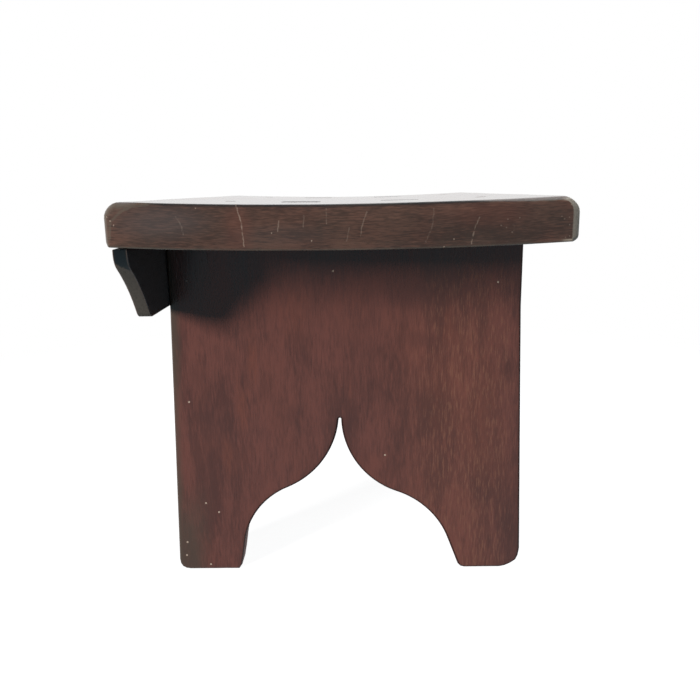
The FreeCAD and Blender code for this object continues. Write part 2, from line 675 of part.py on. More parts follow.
def make_apron_nails(legs):
    head_to_the_left = FreeCAD.Rotation(FreeCAD.Vector(0, 0, 1), FreeCAD.Vector(-1, 0, 0))
    head_face = mirrored(f"{APRON_NAIL_SEAT} + Sizes.nail_head_height")
    nails = []
    for end, leg_place in legs:
        for place, height in zip(("upper", "lower"), APRON_NAIL_HEIGHTS):
            nails.append(make_nail(
                f"apron_nail_{end}_{place}", "Sizes.apron_nail_head_width", "Sizes.apron_nail_length",
                head_to_the_left, x=head_face, y=leg_place, z=height,
            ))
    return make_group("apron_nails", nails)


LEGS = (("front", mirrored(LEG_MIDDLE)), ("rear", LEG_MIDDLE))
sub_parts = [make_top_board(), make_apron()]
for end, leg_place in LEGS:
    sub_parts.append(make_leg(f"{end}_leg_board", leg_place))
    for side, reach in TENONS.items():
        sub_parts.append(make_wedge(f"{end}_{side}_wedge", reach, leg_place))
sub_parts += [make_top_nails(LEGS), make_apron_nails(LEGS)]
doc.recompute()

for item in doc.Objects:
    if {"Invalid", "Error"} & set(item.State):
        raise RuntimeError(f"{item.Label} failed: {item.State}")
    if item.isDerivedFrom("Sketcher::SketchObject") and not item.FullyConstrained:
        raise RuntimeError(f"{item.Label} has loose points")
for part in sub_parts:
    if part.Shape.isNull() or not part.Shape.isValid() or not part.Shape.Solids:
        raise RuntimeError(f"{part.Label} has no valid solid")

os.makedirs("parts", exist_ok=True)
for part in sub_parts:
    part.Shape.exportStep(f"parts/{part.Label}.step")
    print(f"{part.Label}: {len(part.Shape.Solids)} solids, {part.Shape.Volume / 1000:.2f} cm3")
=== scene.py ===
"""The looks of a small wedged board footstool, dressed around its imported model."""

import functools
import math

import bmesh
import bpy
from mathutils import Matrix, Vector


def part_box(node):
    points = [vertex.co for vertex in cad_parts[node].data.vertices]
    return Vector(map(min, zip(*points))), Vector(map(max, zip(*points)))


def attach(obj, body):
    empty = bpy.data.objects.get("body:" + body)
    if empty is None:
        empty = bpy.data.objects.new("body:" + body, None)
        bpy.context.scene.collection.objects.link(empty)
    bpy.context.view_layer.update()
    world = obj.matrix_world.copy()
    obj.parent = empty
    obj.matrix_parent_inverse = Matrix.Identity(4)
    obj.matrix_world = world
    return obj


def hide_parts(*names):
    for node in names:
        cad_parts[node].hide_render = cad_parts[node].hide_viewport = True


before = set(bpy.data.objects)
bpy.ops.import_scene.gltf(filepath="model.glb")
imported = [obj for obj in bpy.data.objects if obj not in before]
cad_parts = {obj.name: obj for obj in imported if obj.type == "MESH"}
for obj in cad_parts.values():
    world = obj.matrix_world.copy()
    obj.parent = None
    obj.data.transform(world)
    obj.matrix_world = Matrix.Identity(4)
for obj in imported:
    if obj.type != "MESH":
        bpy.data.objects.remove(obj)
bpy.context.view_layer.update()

bl_info = {
    "name": "Board Footstool",
    "version": (1, 0, 0),
    "blender": (4, 5, 0),
    "location": "View3D > Sidebar > Footstool",
    "description": "Models and finishes the boards, wedges and nails of a small footstool",
    "category": "Add Mesh",
}

MM = 0.001
BODY = "root"
WEAR = "wear"

# How near two places have to be, to count as one
HAIR = 0.01 * MM
NEAR = 0.1 * MM

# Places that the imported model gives
PLANK_LOW, PLANK_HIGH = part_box("top_board")
LEG_LOW, LEG_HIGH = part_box("front_leg_board")
REAR_LEG_LOW, REAR_LEG_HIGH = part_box("rear_leg_board")
APRON_LOW, APRON_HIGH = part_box("side_apron")
TOP_NAILS_LOW, TOP_NAILS_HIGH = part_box("top_nails")
APRON_NAILS_LOW, APRON_NAILS_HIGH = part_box("apron_nails")
WEDGE_NODES = ("front_left_wedge", "front_right_wedge", "rear_left_wedge", "rear_right_wedge")
WEDGE_BOXES = {node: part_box(node) for node in WEDGE_NODES}
LEG_MIDDLES = ((LEG_LOW.y + LEG_HIGH.y) / 2, (REAR_LEG_LOW.y + REAR_LEG_HIGH.y) / 2)
LEG_STEP = REAR_LEG_LOW.y - LEG_LOW.y

# The hollow of the plank: both faces are arcs round one line, high above the stool
SEAT_HEIGHT = 237.0 * MM
CUP_RADIUS = 2350.0 * MM
CUP_CENTRE = SEAT_HEIGHT + CUP_RADIUS
UNDER_RADIUS = CUP_CENTRE - PLANK_LOW.z
HALF_WIDTH = PLANK_HIGH.x
HALF_LENGTH = PLANK_HIGH.y

# The legs' sides: upright beside the apron, and spreading from there to the floor
FLARE = 5.8 * MM
FLARE_DROP = 3.0 * MM
HALF_SHOULDER = -APRON_HIGH.x
HALF_FOOT = HALF_SHOULDER + FLARE
FLARE_START = APRON_LOW.z - FLARE_DROP

# The tenons' ends lie a little below the seat, with a slight crown
JOINT_GAP = 0.1 * MM
TENON_STAND = -0.13 * MM
TENON_CROWN = 0.05 * MM
TENON_SPANS = tuple((low.x, high.x) for low, high in (WEDGE_BOXES[node] for node in WEDGE_NODES[:2]))

# What settings of one kind share
LENGTH = {"unit": "LENGTH", "subtype": "DISTANCE"}
COLOUR = {"min": 0.0, "max": 1.0, "size": 3, "subtype": "COLOR"}
POWER = {"min": 0.0, "max": 500.0, "unit": "POWER"}


class StoolSizes(bpy.types.PropertyGroup):
    """Sizes of the edges and heads, which change the stool's character and not its frame."""

    plank_top_round: bpy.props.FloatProperty(
        name="Plank Top Rounding", description="Radius of the plank's upper long edges",
        default=8.0 * MM, min=1.0 * MM, max=9.0 * MM, **LENGTH)
    plank_under_round: bpy.props.FloatProperty(
        name="Plank Under Rounding", description="Radius of the plank's lower long edges",
        default=3.2 * MM, min=1.0 * MM, max=9.0 * MM, **LENGTH)
    plank_end_ease: bpy.props.FloatProperty(
        name="Plank End Easing", description="Rounding of the arrises round the plank's end grain",
        default=1.3 * MM, min=0.3 * MM, max=3.0 * MM, **LENGTH)
    plank_corner_round: bpy.props.FloatProperty(
        name="Plank Corner Rounding", description="Rounding of the plank's four upright corners",
        default=4.2 * MM, min=1.0 * MM, max=6.0 * MM, **LENGTH)
    leg_ease: bpy.props.FloatProperty(
        name="Leg Easing", description="Rounding of the sawn edges of the leg boards",
        default=1.3 * MM, min=0.3 * MM, max=3.0 * MM, **LENGTH)
    apron_ease: bpy.props.FloatProperty(
        name="Apron Easing", description="Rounding of the sawn edges of the apron",
        default=0.5 * MM, min=0.3 * MM, max=2.0 * MM, **LENGTH)
    edge_dents: bpy.props.FloatProperty(
        name="Edge Dents", description="How deep knocks and rubbing have eaten into the edges",
        default=0.5 * MM, min=0.0, max=1.5 * MM, **LENGTH)
    plank_warp: bpy.props.FloatProperty(
        name="Plank Unevenness", description="How far the hand-planed plank waves in and out",
        default=0.5 * MM, min=0.0, max=2.0 * MM, **LENGTH)


class StoolFinish(bpy.types.PropertyGroup):
    """Colours of the stain, the bare wood and the iron."""

    leg_dark: bpy.props.FloatVectorProperty(
        name="Leg Stain, Dark", description="Stain in the dark strands of the legs",
        default=(0.0715, 0.0252, 0.0192), **COLOUR)
    leg_light: bpy.props.FloatVectorProperty(
        name="Leg Stain, Light", description="Stain in the light strands of the legs",
        default=(0.1310, 0.0455, 0.0345), **COLOUR)
    plank_dark: bpy.props.FloatVectorProperty(
        name="Plank Stain, Dark", description="Stain in the dark strands of the plank",
        default=(0.0430, 0.0203, 0.0131), **COLOUR)
    plank_light: bpy.props.FloatVectorProperty(
        name="Plank Stain, Light", description="Stain in the light strands of the plank",
        default=(0.1000, 0.0475, 0.0320), **COLOUR)
    red_glow: bpy.props.FloatVectorProperty(
        name="Red Strands", description="The redder heartwood that shows in streaks",
        default=(0.1450, 0.0460, 0.0300), **COLOUR)
    rubbed: bpy.props.FloatVectorProperty(
        name="Rubbed Edges", description="Grey-brown wood where the stain has worn off",
        default=(0.1050, 0.0820, 0.0600), **COLOUR)
    # Blue-grey painted reflection on the plank's near end, also read as bloom in its old varnish
    bloom_and_painted_sheen: bpy.props.FloatVectorProperty(
        name="Varnish Bloom", description="Blue-grey haze in the old varnish of the plank's end",
        default=(0.075, 0.064, 0.062), **COLOUR)
    olive: bpy.props.FloatVectorProperty(
        name="Olive Dirt", description="Handling dirt on the legs' left edge and foot",
        default=(0.060, 0.042, 0.029), **COLOUR)
    weathered: bpy.props.FloatVectorProperty(
        name="Weathered Ends", description="Grey wood of the apron's sawn ends",
        default=(0.074, 0.064, 0.054), **COLOUR)
    # Black for painted shade of the plank on the apron's noses, and for grime along the plank's upper arris
    # and on the tenon ends
    painted_shade_and_grime: bpy.props.FloatVectorProperty(
        name="Grime", description="Black grime under the plank and along its upper arris",
        default=(0.003, 0.003, 0.0035), **COLOUR)
    bare: bpy.props.FloatVectorProperty(
        name="Bare Wood", description="Pale wood in scratches and chips",
        default=(0.42, 0.32, 0.25), **COLOUR)
    wedge: bpy.props.FloatVectorProperty(
        name="Wedge Wood", description="End grain of the wedges",
        default=(0.060, 0.030, 0.021), **COLOUR)
    iron: bpy.props.FloatVectorProperty(
        name="Nail Iron", description="Dull iron of the cut nails",
        default=(0.090, 0.080, 0.075), **COLOUR)
    rust: bpy.props.FloatVectorProperty(
        name="Nail Rust", description="Rust in the hollows of the nail heads",
        default=(0.075, 0.030, 0.015), **COLOUR)


class StoolStage(bpy.types.PropertyGroup):
    """Levels of the lamps, and the lens."""

    key_power: bpy.props.FloatProperty(
        name="Key Lamp", description="Power of the lamp in front on the left", default=112.0, **POWER)
    over_power: bpy.props.FloatProperty(
        name="Overhead Lamp", description="Power of the soft lamp above", default=10.0, **POWER)
    back_power: bpy.props.FloatProperty(
        name="Back Lamp", description="Power of the soft lamp behind on the right", default=30.0, **POWER)
    side_power: bpy.props.FloatProperty(
        name="Side Lamp", description="Power of the soft lamp on the right", default=6.0, **POWER)
    sky: bpy.props.FloatProperty(
        name="Room Light", description="Strength of the light that comes from all round",
        default=0.12, min=0.0, max=1.0)
    lens: bpy.props.FloatProperty(
        name="Lens", description="Focal length on a sensor as wide as a small-format frame",
        default=36.0, min=10.0, max=200.0, unit="CAMERA")


def cup(radius, across):
    """Height of a face that is hollowed to this radius, at this distance from the middle."""
    return CUP_CENTRE - math.sqrt(radius ** 2 - across ** 2)


def smooth(low, high, value):
    """0 below low, 1 above high, and a soft step between them."""
    part = min(max((value - low) / (high - low), 0.0), 1.0)
    return part * part * (3.0 - 2.0 * part)


# Modelling

PARTS = {"FACE": "faces", "EDGE": "edges"}
FACING, SQUARE_ON = 0.9, 0.99
FULL_TURN = 1.0 - math.sqrt(0.5)
SMOOTH_ANGLE = math.radians(38.0)

# The texture's level that leaves a surface where it is, for waves all over and for knocked edges
WAVE_LEVEL = 0.08
KNOCK_LEVEL = 0.25


def pick(piece, kind, takes):
    """In edit mode, select the faces or edges that the rule takes."""
    bpy.ops.mesh.select_mode(type=kind)
    bpy.ops.mesh.select_all(action="DESELECT")
    mesh = bmesh.from_edit_mesh(piece.data)
    for part in getattr(mesh, PARTS[kind]):
        if takes(part):
            part.select_set(True)
    mesh.select_flush_mode()
    bmesh.update_edit_mesh(piece.data)


def push(step):
    """Extrude what is selected by this step."""
    bpy.ops.mesh.extrude_region_move(TRANSFORM_OT_translate={"value": step})


def add_block(name, low, high):
    """A box between two corners, open in edit mode, as the start of a small piece."""
    bpy.ops.object.select_all(action="DESELECT")
    bpy.ops.mesh.primitive_cube_add(size=1.0, location=(low + high) / 2, scale=high - low)
    block = bpy.context.object
    block.name = name
    bpy.ops.object.transform_apply(location=True, rotation=True, scale=True)
    bpy.ops.object.mode_set(mode="EDIT")
    return block


class Scribe:
    """Draws a board's outline in edit mode, one vertex at a time, on an upright plane."""

    def __init__(self, name, sideways, normal, depth, start):
        self.sideways = Vector(sideways)
        self.normal = Vector(normal)
        self.depth = depth
        self.here = start
        bpy.ops.object.select_all(action="DESELECT")
        bpy.ops.mesh.primitive_plane_add(size=MM, location=self.spot(start))
        self.board = bpy.context.object
        self.board.name = name
        bpy.ops.object.transform_apply(location=True)
        bpy.ops.object.mode_set(mode="EDIT")
        bpy.ops.mesh.select_mode(type="VERT")
        bpy.ops.mesh.merge(type="CENTER")

    def spot(self, place):
        return self.sideways * place[0] + Vector((0.0, 0.0, place[1])) + self.normal * self.depth

    def line(self, end, pieces=1):
        step = (self.spot(end) - self.spot(self.here)) / pieces
        for _ in range(pieces):
            push(step)
        self.here = end

    def lines(self, *ends):
        for end in ends:
            self.line(end)

    def arc(self, end, centre, pieces):
        """Turn round the centre by the shorter way to the end."""
        first = Vector(self.here) - Vector(centre)
        last = Vector(end) - Vector(centre)
        bpy.ops.mesh.spin(
            steps=pieces, angle=-first.angle_signed(last), center=self.spot(centre), axis=self.turning())
        self.here = end

    def turning(self):
        """The axis that turns clockwise, as the outline's two numbers are drawn."""
        return Vector((0.0, 0.0, 1.0)).cross(self.sideways)

    def close(self):
        bpy.ops.mesh.select_all(action="SELECT")
        bpy.ops.mesh.remove_doubles(threshold=HAIR)
        bpy.ops.mesh.edge_face_add()
        return self.board


def use_modifier(piece, kind, **settings):
    """Add a modifier to the piece and apply it."""
    modifier = piece.modifiers.new(kind.lower(), kind)
    for name, setting in settings.items():
        setattr(modifier, name, setting)
    bpy.ops.object.modifier_apply(modifier=modifier.name)


def face_outwards():
    """In edit mode, turn all faces outwards."""
    bpy.ops.mesh.select_all(action="SELECT")
    bpy.ops.mesh.normals_make_consistent(inside=False)


def close_up():
    """Leave edit mode with the piece's doubles merged and its faces pointing out."""
    bpy.ops.mesh.select_all(action="SELECT")
    bpy.ops.mesh.remove_doubles(threshold=HAIR)
    face_outwards()
    bpy.ops.mesh.select_all(action="DESELECT")
    bpy.ops.object.mode_set(mode="OBJECT")


def mark_wear(piece, flats):
    """Keep in each vertex how far its surface turns between the board's flat directions."""
    mesh = piece.data
    marks = mesh.attributes.new(WEAR, "FLOAT", "POINT")
    group = piece.vertex_groups.new(name=WEAR)
    for vertex, mark in zip(mesh.vertices, marks.data):
        lying = max(math.hypot(*(vertex.normal[axis] for axis in flat)) for flat in flats)
        mark.value = min((1.0 - lying) / FULL_TURN, 1.0)
        group.add([vertex.index], mark.value, "REPLACE")


def knock_about(piece, name, grain, depth, everywhere=False):
    """Push the surface in unevenly, on the worn edges or everywhere."""
    texture = bpy.data.textures.new(name, "CLOUDS")
    texture.noise_scale = grain
    texture.noise_depth = 1
    settings = {"mid_level": WAVE_LEVEL} if everywhere else {"mid_level": KNOCK_LEVEL, "vertex_group": WEAR}
    use_modifier(piece, "DISPLACE", texture=texture, texture_coords="LOCAL", strength=-depth, **settings)


def dress(piece, material, node):
    """Give the finished piece smooth shading, its material and its place in the frame, and hide the
    imported node it stands for.
    """
    bpy.ops.object.shade_smooth_by_angle(angle=SMOOTH_ANGLE)
    piece.data.materials.clear()
    piece.data.materials.append(material)
    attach(piece, BODY)
    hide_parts(node)


def take_up(piece):
    """Make this the one selected and active piece."""
    bpy.ops.object.select_all(action="DESELECT")
    piece.select_set(True)
    bpy.context.view_layer.objects.active = piece


def copy_piece(piece, name, step):
    """A copy with its own mesh, moved by this step."""
    take_up(piece)
    bpy.ops.object.duplicate(linked=False)
    made = bpy.context.object
    made.name = name
    made.location = step
    bpy.ops.object.transform_apply(location=True)
    return made


# Finishes

class Tone:
    """One socket of a finish, with sums that add their Math nodes to it."""

    def __init__(self, finish, socket):
        self.finish = finish
        self.socket = socket

    def sum(self, operation, *terms, clamp=False):
        settings = {"operation": operation, "use_clamp": clamp}
        return self.finish.node("ShaderNodeMath", settings, dict(enumerate(terms)))

    def __add__(self, other):
        return self.sum("ADD", self, other)

    __radd__ = __add__

    def __sub__(self, other):
        return self.sum("SUBTRACT", self, other)

    def __rsub__(self, other):
        return self.sum("SUBTRACT", other, self)

    def __mul__(self, other):
        return self.sum("MULTIPLY", self, other)

    __rmul__ = __mul__

    def most(self, other):
        return self.sum("MAXIMUM", self, other)


class Finish:
    """The nodes of one material, floor or sky."""

    def __init__(self, tree):
        self.tree = tree
        self.tree.nodes.clear()

    def node(self, kind, settings=None, sockets=None, take=0):
        """Add a node, set it up, fill its sockets and give the output that is taken."""
        made = self.tree.nodes.new(kind)
        for name, setting in (settings or {}).items():
            setattr(made, name, setting)
        for key, filling in (sockets or {}).items():
            if isinstance(filling, Tone):
                self.tree.links.new(filling.socket, made.inputs[key])
            else:
                made.inputs[key].default_value = filling
        return Tone(self, made.outputs[take]) if made.outputs else None

    def spot(self):
        return self.node("ShaderNodeTexCoord", take="Object")

    def split(self, place):
        return [self.node("ShaderNodeSeparateXYZ", sockets={0: place}, take=axis) for axis in range(3)]

    def join(self, *axes):
        return self.node("ShaderNodeCombineXYZ", sockets=dict(enumerate(axes)))

    def vector(self, operation, *terms, take=0):
        return self.node("ShaderNodeVectorMath", {"operation": operation}, dict(enumerate(terms)), take)

    def fade(self, value, start, end):
        """0 at the start, 1 at the end, with a soft step between."""
        sockets = {"Value": value, "From Min": start, "From Max": end}
        return self.node("ShaderNodeMapRange", {"interpolation_type": "SMOOTHSTEP"}, sockets)

    def between(self, value, rise, fall):
        """1 from the end of the rise to the end of the fall, and 0 outside them."""
        return self.fade(value, *rise) * self.fade(value, *fall)

    def grain(self, place, stretch, shift=(0.0, 0.0, 0.0), detail=2.0, roughness=0.5, swirl=0.0):
        """Noise whose lumps are as many to the metre, in each direction, as stretch says."""
        sockets = {"Vector": place, "Location": shift, "Scale": stretch}
        lumps = self.node("ShaderNodeMapping", sockets=sockets)
        sockets = {
            "Vector": lumps, "Scale": 1.0, "Detail": detail, "Roughness": roughness, "Distortion": swirl}
        return self.node("ShaderNodeTexNoise", sockets=sockets)

    def blend(self, factor, first, second, how="MIX"):
        settings = {"data_type": "RGBA", "blend_type": how, "clamp_factor": True}
        first, second = (
            tone if isinstance(tone, Tone) else (*tone, 1.0) for tone in (first, second))
        return self.node("ShaderNodeMix", settings, {0: factor, 6: first, 7: second}, take=2)

    def coats(self, colour, *layers):
        """Lay coats over a colour in turn, each as far as its cover says."""
        for cover, coat in layers:
            colour = self.blend(cover, colour, coat)
        return colour

    def near_line(self, place, start, end):
        """Distance from a place to the straight line between two points."""
        run = Vector(end) - Vector(start)
        offset = self.vector("SUBTRACT", place, tuple(start))
        share = self.vector("DOT_PRODUCT", offset, tuple(run / run.length_squared), take=1)
        held = share.sum("ADD", share, 0.0, clamp=True)
        foot = self.node(
            "ShaderNodeVectorMath", {"operation": "SCALE"}, {0: tuple(run), "Scale": held})
        return self.vector("DISTANCE", offset, foot, take=1)


def new_finish(name):
    material = bpy.data.materials.new(name)
    material.use_nodes = True
    return material, Finish(material.node_tree)


def put_shader(finish, sockets):
    shader = finish.node("ShaderNodeBsdfPrincipled", sockets=sockets)
    finish.node("ShaderNodeOutputMaterial", sockets={"Surface": shader})


def bump_of(finish, height, depth):
    sockets = {"Strength": 1.0, "Distance": depth, "Height": height}
    return finish.node("ShaderNodeBump", sockets=sockets)


def toned(colour, share):
    """A darker or lighter tone of a colour."""
    return tuple(part * share for part in colour)


def strongest(marks):
    """At each place, the strongest of several marks."""
    return functools.reduce(Tone.most, marks)


# Lumps to the metre in the boards' colour and grain, by width, thickness and length
WARMTH, WARMTH_SHIFT = (22.0, 22.0, 17.0), (5.0, 2.0, 9.0)
CLUSTERS, CLUSTER_SHIFT = (60.0, 60.0, 36.0), (1.0, 6.0, 4.0)
STRANDS = (170.0, 170.0, 20.0)
FLECKS = (800.0, 800.0, 110.0)
THREADS = (1700.0, 1700.0, 170.0)
PORES = (1500.0, 1500.0, 80.0)
RUBBING = (70.0, 70.0, 70.0)

# Clouds of darker and lighter stain, by the directions that each board gives them
PLANK_CLOUDS = (24.0, 9.0, 40.0)
LEG_CLOUDS = (46.0, 46.0, 13.0)
APRON_CLOUDS = (27.0, 27.0, 12.0)

# The cool sheen of old varnish
HAZE = (0.50, 0.86, 1.0, 1.0)
GLOSS = 0.12


def stained_board(finish, lay, spread, clouds, shift, tones, redness, veins=0.0):
    """Colour and grain of a stained board.

    The grain follows lay, by width, thickness and length, and the clouds follow spread.
    """
    dark, light, red_glow = tones
    patch = finish.grain(spread, clouds, shift, detail=4.0, roughness=0.56, swirl=0.5)
    warmth = finish.grain(spread, WARMTH, WARMTH_SHIFT, detail=3.0, roughness=0.6, swirl=0.4)
    strand = finish.grain(lay, STRANDS, shift, detail=3.0, roughness=0.6)
    fleck = finish.grain(lay, FLECKS, shift)
    thread = finish.grain(lay, THREADS, shift, detail=1.0)
    cluster = finish.fade(finish.grain(spread, CLUSTERS, CLUSTER_SHIFT), 0.42, 0.62)
    pores = finish.fade(finish.grain(lay, PORES, shift, detail=1.0), 0.60, 0.74)
    depth = 0.62 * patch + 0.14 * strand + 0.17 * fleck + (fleck - 0.5) * cluster * (0.16 + veins)
    depth = depth + (thread - 0.5) * (0.26 + veins * 0.9) + 0.035
    colour = finish.coats(
        finish.blend(finish.fade(depth, 0.36, 0.64), dark, light),
        (finish.fade(warmth, 0.46, 0.64) * redness, red_glow),
        (pores * 0.22, toned(dark, 0.6)),
    )
    relief = fleck * 0.4 + strand * 0.3 - pores * 0.5
    return colour, {"patch": patch, "strand": strand, "fleck": fleck, "thread": thread, "relief": relief}


def rubbed_edges(finish, spot, shift):
    """How worn the edges are, and where they have lost their stain, in uneven patches."""
    wear = finish.node("ShaderNodeAttribute", {"attribute_name": WEAR}, take="Fac")
    rubbing = finish.grain(spot, RUBBING, shift, detail=4.0, roughness=0.65)
    return wear, wear * finish.fade(rubbing, 0.34, 0.60)


def flat_spot(place):
    return Vector((place[0] * MM, 0.0, place[1] * MM))


def specks(finish, face, places, size):
    """Small round marks at these places on an upright face."""
    return strongest(
        finish.fade(finish.vector("DISTANCE", face, tuple(flat_spot(place)), take=1), size, size * 0.5)
        for place in places)


def scratches(finish, face, lines):
    """Thin marks along lines on an upright face."""
    marks = []
    for strength, width, places in lines:
        spots = [flat_spot(place) for place in places]
        for start, end in zip(spots, spots[1:]):
            marks.append(finish.fade(finish.near_line(face, start, end), width, width * 0.3) * strength)
    return strongest(marks)


def pools(finish, face, patches):
    """Soft patches on an upright face, strongest in the middle."""
    marks = []
    for middle, half, strength in patches:
        offset = finish.vector("SUBTRACT", face, tuple(flat_spot(middle)))
        share = finish.vector("DIVIDE", offset, (half[0] * MM, 1.0, half[1] * MM))
        marks.append(finish.fade(finish.vector("LENGTH", share, take=1), 1.0, 0.15) * strength)
    return strongest(marks)


# Marks on the plank's near end, as places across and up: strength, half width, and the line
END_SCRATCHES = (
    (0.11, 0.55 * MM, ((-79.9, 231.9), (-78.2, 229.4), (-77.3, 226.6), (-77.0, 223.4))),
    (0.40, 0.42 * MM, ((-50.5, 237.5), (-48.9, 231.4), (-47.7, 225.3), (-47.5, 217.3))),
    (0.30, 0.42 * MM, ((-30.0, 229.3), (-30.6, 224.3))),
    (0.24, 0.42 * MM, ((-17.6, 231.8), (-18.1, 226.1))),
    (0.26, 0.40 * MM, ((-6.5, 234.7), (-6.8, 227.8))),
    (0.14, 0.42 * MM, ((4.4, 225.4), (2.8, 219.2))),
    (0.26, 0.42 * MM, ((12.8, 233.0), (10.3, 225.3), (9.8, 221.4))),
    (0.14, 0.50 * MM, ((45.1, 234.1), (44.6, 226.0), (41.5, 218.2))),
    (0.36, 0.44 * MM, ((67.1, 229.6), (65.1, 224.8), (63.5, 217.2))),
    (0.12, 0.40 * MM, ((83.2, 226.2), (84.3, 225.0), (83.9, 222.8))),
)
# A pale line along the worn arris of the near left corner: worn wood and a painted highlight
WORN_ARRIS_HIGHLIGHT = (
    (0.45, 0.9 * MM, ((-113.0, 222.0), (-112.1, 229.9), (-108.9, 232.7), (-105.6, 235.3),
                      (-100.8, 237.1), (-93.0, 237.8))),
)
END_CHIPS = (
    (-113.6, 232.3), (-111.8, 230.4), (-110.5, 228.1), (-69.9, 235.9), (-33.7, 223.6),
    (-14.0, 219.5), (54.9, 219.6), (50.3, 215.8), (111.3, 235.3),
)
END_DUST = (
    (80.3, 224.7), (83.2, 222.4), (77.9, 225.5), (80.9, 228.6), (86.6, 229.2), (106.6, 229.7),
    (108.0, 228.4), (110.4, 229.1), (110.7, 225.5), (109.0, 219.5), (111.1, 220.2),
)
CHIP_SIZE = 0.45 * MM
TREMBLE = 420.0
TREMBLE_REACH = Vector((0.5, 0.0, 0.5)) * MM
BROKEN = (900.0, 900.0, 420.0)

# Soft patches on the plank's near end: middle, half width and half height, strength
# END_SHEEN paints a blue-grey reflection onto the near end; END_RED marks redder wood
END_SHEEN = (((-87.0, 229.5), (34.0, 13.0), 0.40), ((-30.0, 222.0), (40.0, 8.0), 0.16))
END_RED = (((-50.0, 226.0), (10.0, 17.0), 0.30), ((70.0, 231.0), (30.0, 9.0), 0.28))

# Where the plank's finish starts to change and has changed: in from its ends, below its seat, above
# its underside, and across it
END_FACE = (1.6 * MM, 0.5 * MM)
LAYER_DEPTH = 0.8 * MM
LEFT_FACET = (12.0 * MM, 4.0 * MM)
RIGHT_FACET = (6.0 * MM, 3.0 * MM)
SEAT_FACE = (0.9 * MM, 0.3 * MM)
UPPER_ARRIS = (2.0 * MM, 0.8 * MM)
# LOWER_ARRIS_HIGHLIGHT spans a painted highlight along the ends' lower arris
LOWER_ARRIS_HIGHLIGHT = (1.5 * MM, 0.5 * MM)
LEFT_CORNER = (-84.0 * MM, -96.0 * MM)
CLEAN_CORNER = (60.0 * MM, 84.0 * MM)
RIGHT_CORNER = (106.0 * MM, 111.0 * MM)

# Pale worn wood on the near right corner's facet, lightened further as a painted highlight
WORN_FACET_AND_HIGHLIGHT = (0.49, 0.416, 0.33)
SCUFFS = (900.0, 14.0, 60.0)
SCUFF_TURN = (0.0, 0.0, 0.5)


def plank_finish(look):
    """Satin stain with fine layers across the end grain, a glossy seat and rubbed ends, with a painted
    blue-grey reflection on the near end and painted highlights along the ends' lower arrises, the worn left
    arris and the near right corner's facet.
    """
    material, finish = new_finish("rubbed_plank_stain")
    shift = (3.1, 7.7, 1.9)
    spot = finish.spot()
    across, along, up = finish.split(spot)
    from_near = along + HALF_LENGTH
    from_end = HALF_LENGTH - finish.split(finish.vector("ABSOLUTE", spot))[1]
    ends = finish.fade(from_end, *END_FACE)
    near_end = ends * finish.fade(along, 0.0, -MM)
    rise = across * across * (0.5 / CUP_RADIUS)
    below_seat = rise + SEAT_HEIGHT - up
    above_base = up - rise - PLANK_LOW.z
    layer = from_end.sum("LESS_THAN", from_end, LAYER_DEPTH)
    lay = finish.join(across * (1.0 - layer * 0.86), (up - rise) * (1.0 + layer * 0.5), along)
    tones = look.plank_dark, look.plank_light, look.red_glow
    redness = 0.24 - ends * 0.16
    colour, grain = stained_board(finish, lay, spot, PLANK_CLOUDS, shift, tones, redness, layer * 0.32)

    sockets = {"Vector": spot, "Scale": TREMBLE, "Detail": 1.0}
    tremble = finish.node("ShaderNodeTexNoise", sockets=sockets, take="Color")
    wander = finish.vector("MULTIPLY_ADD", tremble, tuple(TREMBLE_REACH * 2), tuple(-TREMBLE_REACH))
    face = finish.vector("ADD", finish.join(across, 0.0, up), wander)
    cuts = scratches(finish, face, END_SCRATCHES) * finish.fade(finish.grain(spot, BROKEN), 0.26, 0.64)
    chips = specks(finish, face, END_CHIPS, CHIP_SIZE) * 0.55
    dust = specks(finish, face, END_DUST, CHIP_SIZE) * 0.22
    seat = finish.fade(below_seat, *SEAT_FACE) * (1.0 - ends)
    scuff_lay = finish.node("ShaderNodeMapping", sockets={"Vector": spot, "Rotation": SCUFF_TURN})
    scuffs = finish.fade(finish.grain(scuff_lay, SCUFFS), 0.69, 0.79) * seat * 0.3
    bare = scuffs.most(strongest((cuts, chips, dust)) * near_end)

    wear, rubbed = rubbed_edges(finish, spot, shift)
    left_corner = finish.fade(across, *LEFT_CORNER)
    clean_corner = finish.fade(across, *CLEAN_CORNER)
    knocked = finish.fade(wear, 0.1, 0.4) * finish.fade(across, *RIGHT_CORNER)
    pale = finish.fade(from_near, *RIGHT_FACET) * (0.42 + grain["fleck"] * 0.5)
    upper_arris = ends * finish.fade(below_seat, *UPPER_ARRIS)
    colour = finish.coats(
        colour,
        # Painted reflection: blue-grey sheen on the near end
        (pools(finish, face, END_SHEEN) * near_end, look.bloom_and_painted_sheen),
        (pools(finish, face, END_RED) * near_end, look.red_glow),
        (rubbed * 0.75, look.rubbed),
        (wear * left_corner * finish.fade(from_near, *LEFT_FACET) * 0.6, look.rubbed),
        # Worn facet on the near right corner, with a painted highlight
        (knocked * pale, WORN_FACET_AND_HIGHLIGHT),
        # Worn wood along the left corner's arris, also a painted highlight on that edge
        (scratches(finish, face, WORN_ARRIS_HIGHLIGHT) * near_end, look.rubbed),
        (upper_arris * (1.0 - left_corner.most(clean_corner)) * 0.7, look.painted_shade_and_grime),
        # Painted highlight along the ends' lower arris
        (ends * finish.fade(above_base, *LOWER_ARRIS_HIGHLIGHT) * 0.3, look.rubbed),
        (bare, look.bare),
    )
    height = grain["relief"] * (1.0 - seat * 0.8) - bare * 0.6
    roughness = 0.20 + grain["patch"] * 0.08 + grain["fleck"] * 0.04 - seat * 0.10 + bare * 0.3
    put_shader(finish, {
        "Base Color": colour, "Roughness": roughness, "Specular IOR Level": 0.24, "Specular Tint": HAZE,
        "Coat Weight": seat * 0.4, "Coat Roughness": GLOSS, "Normal": bump_of(finish, height, 0.10 * MM),
    })
    return material


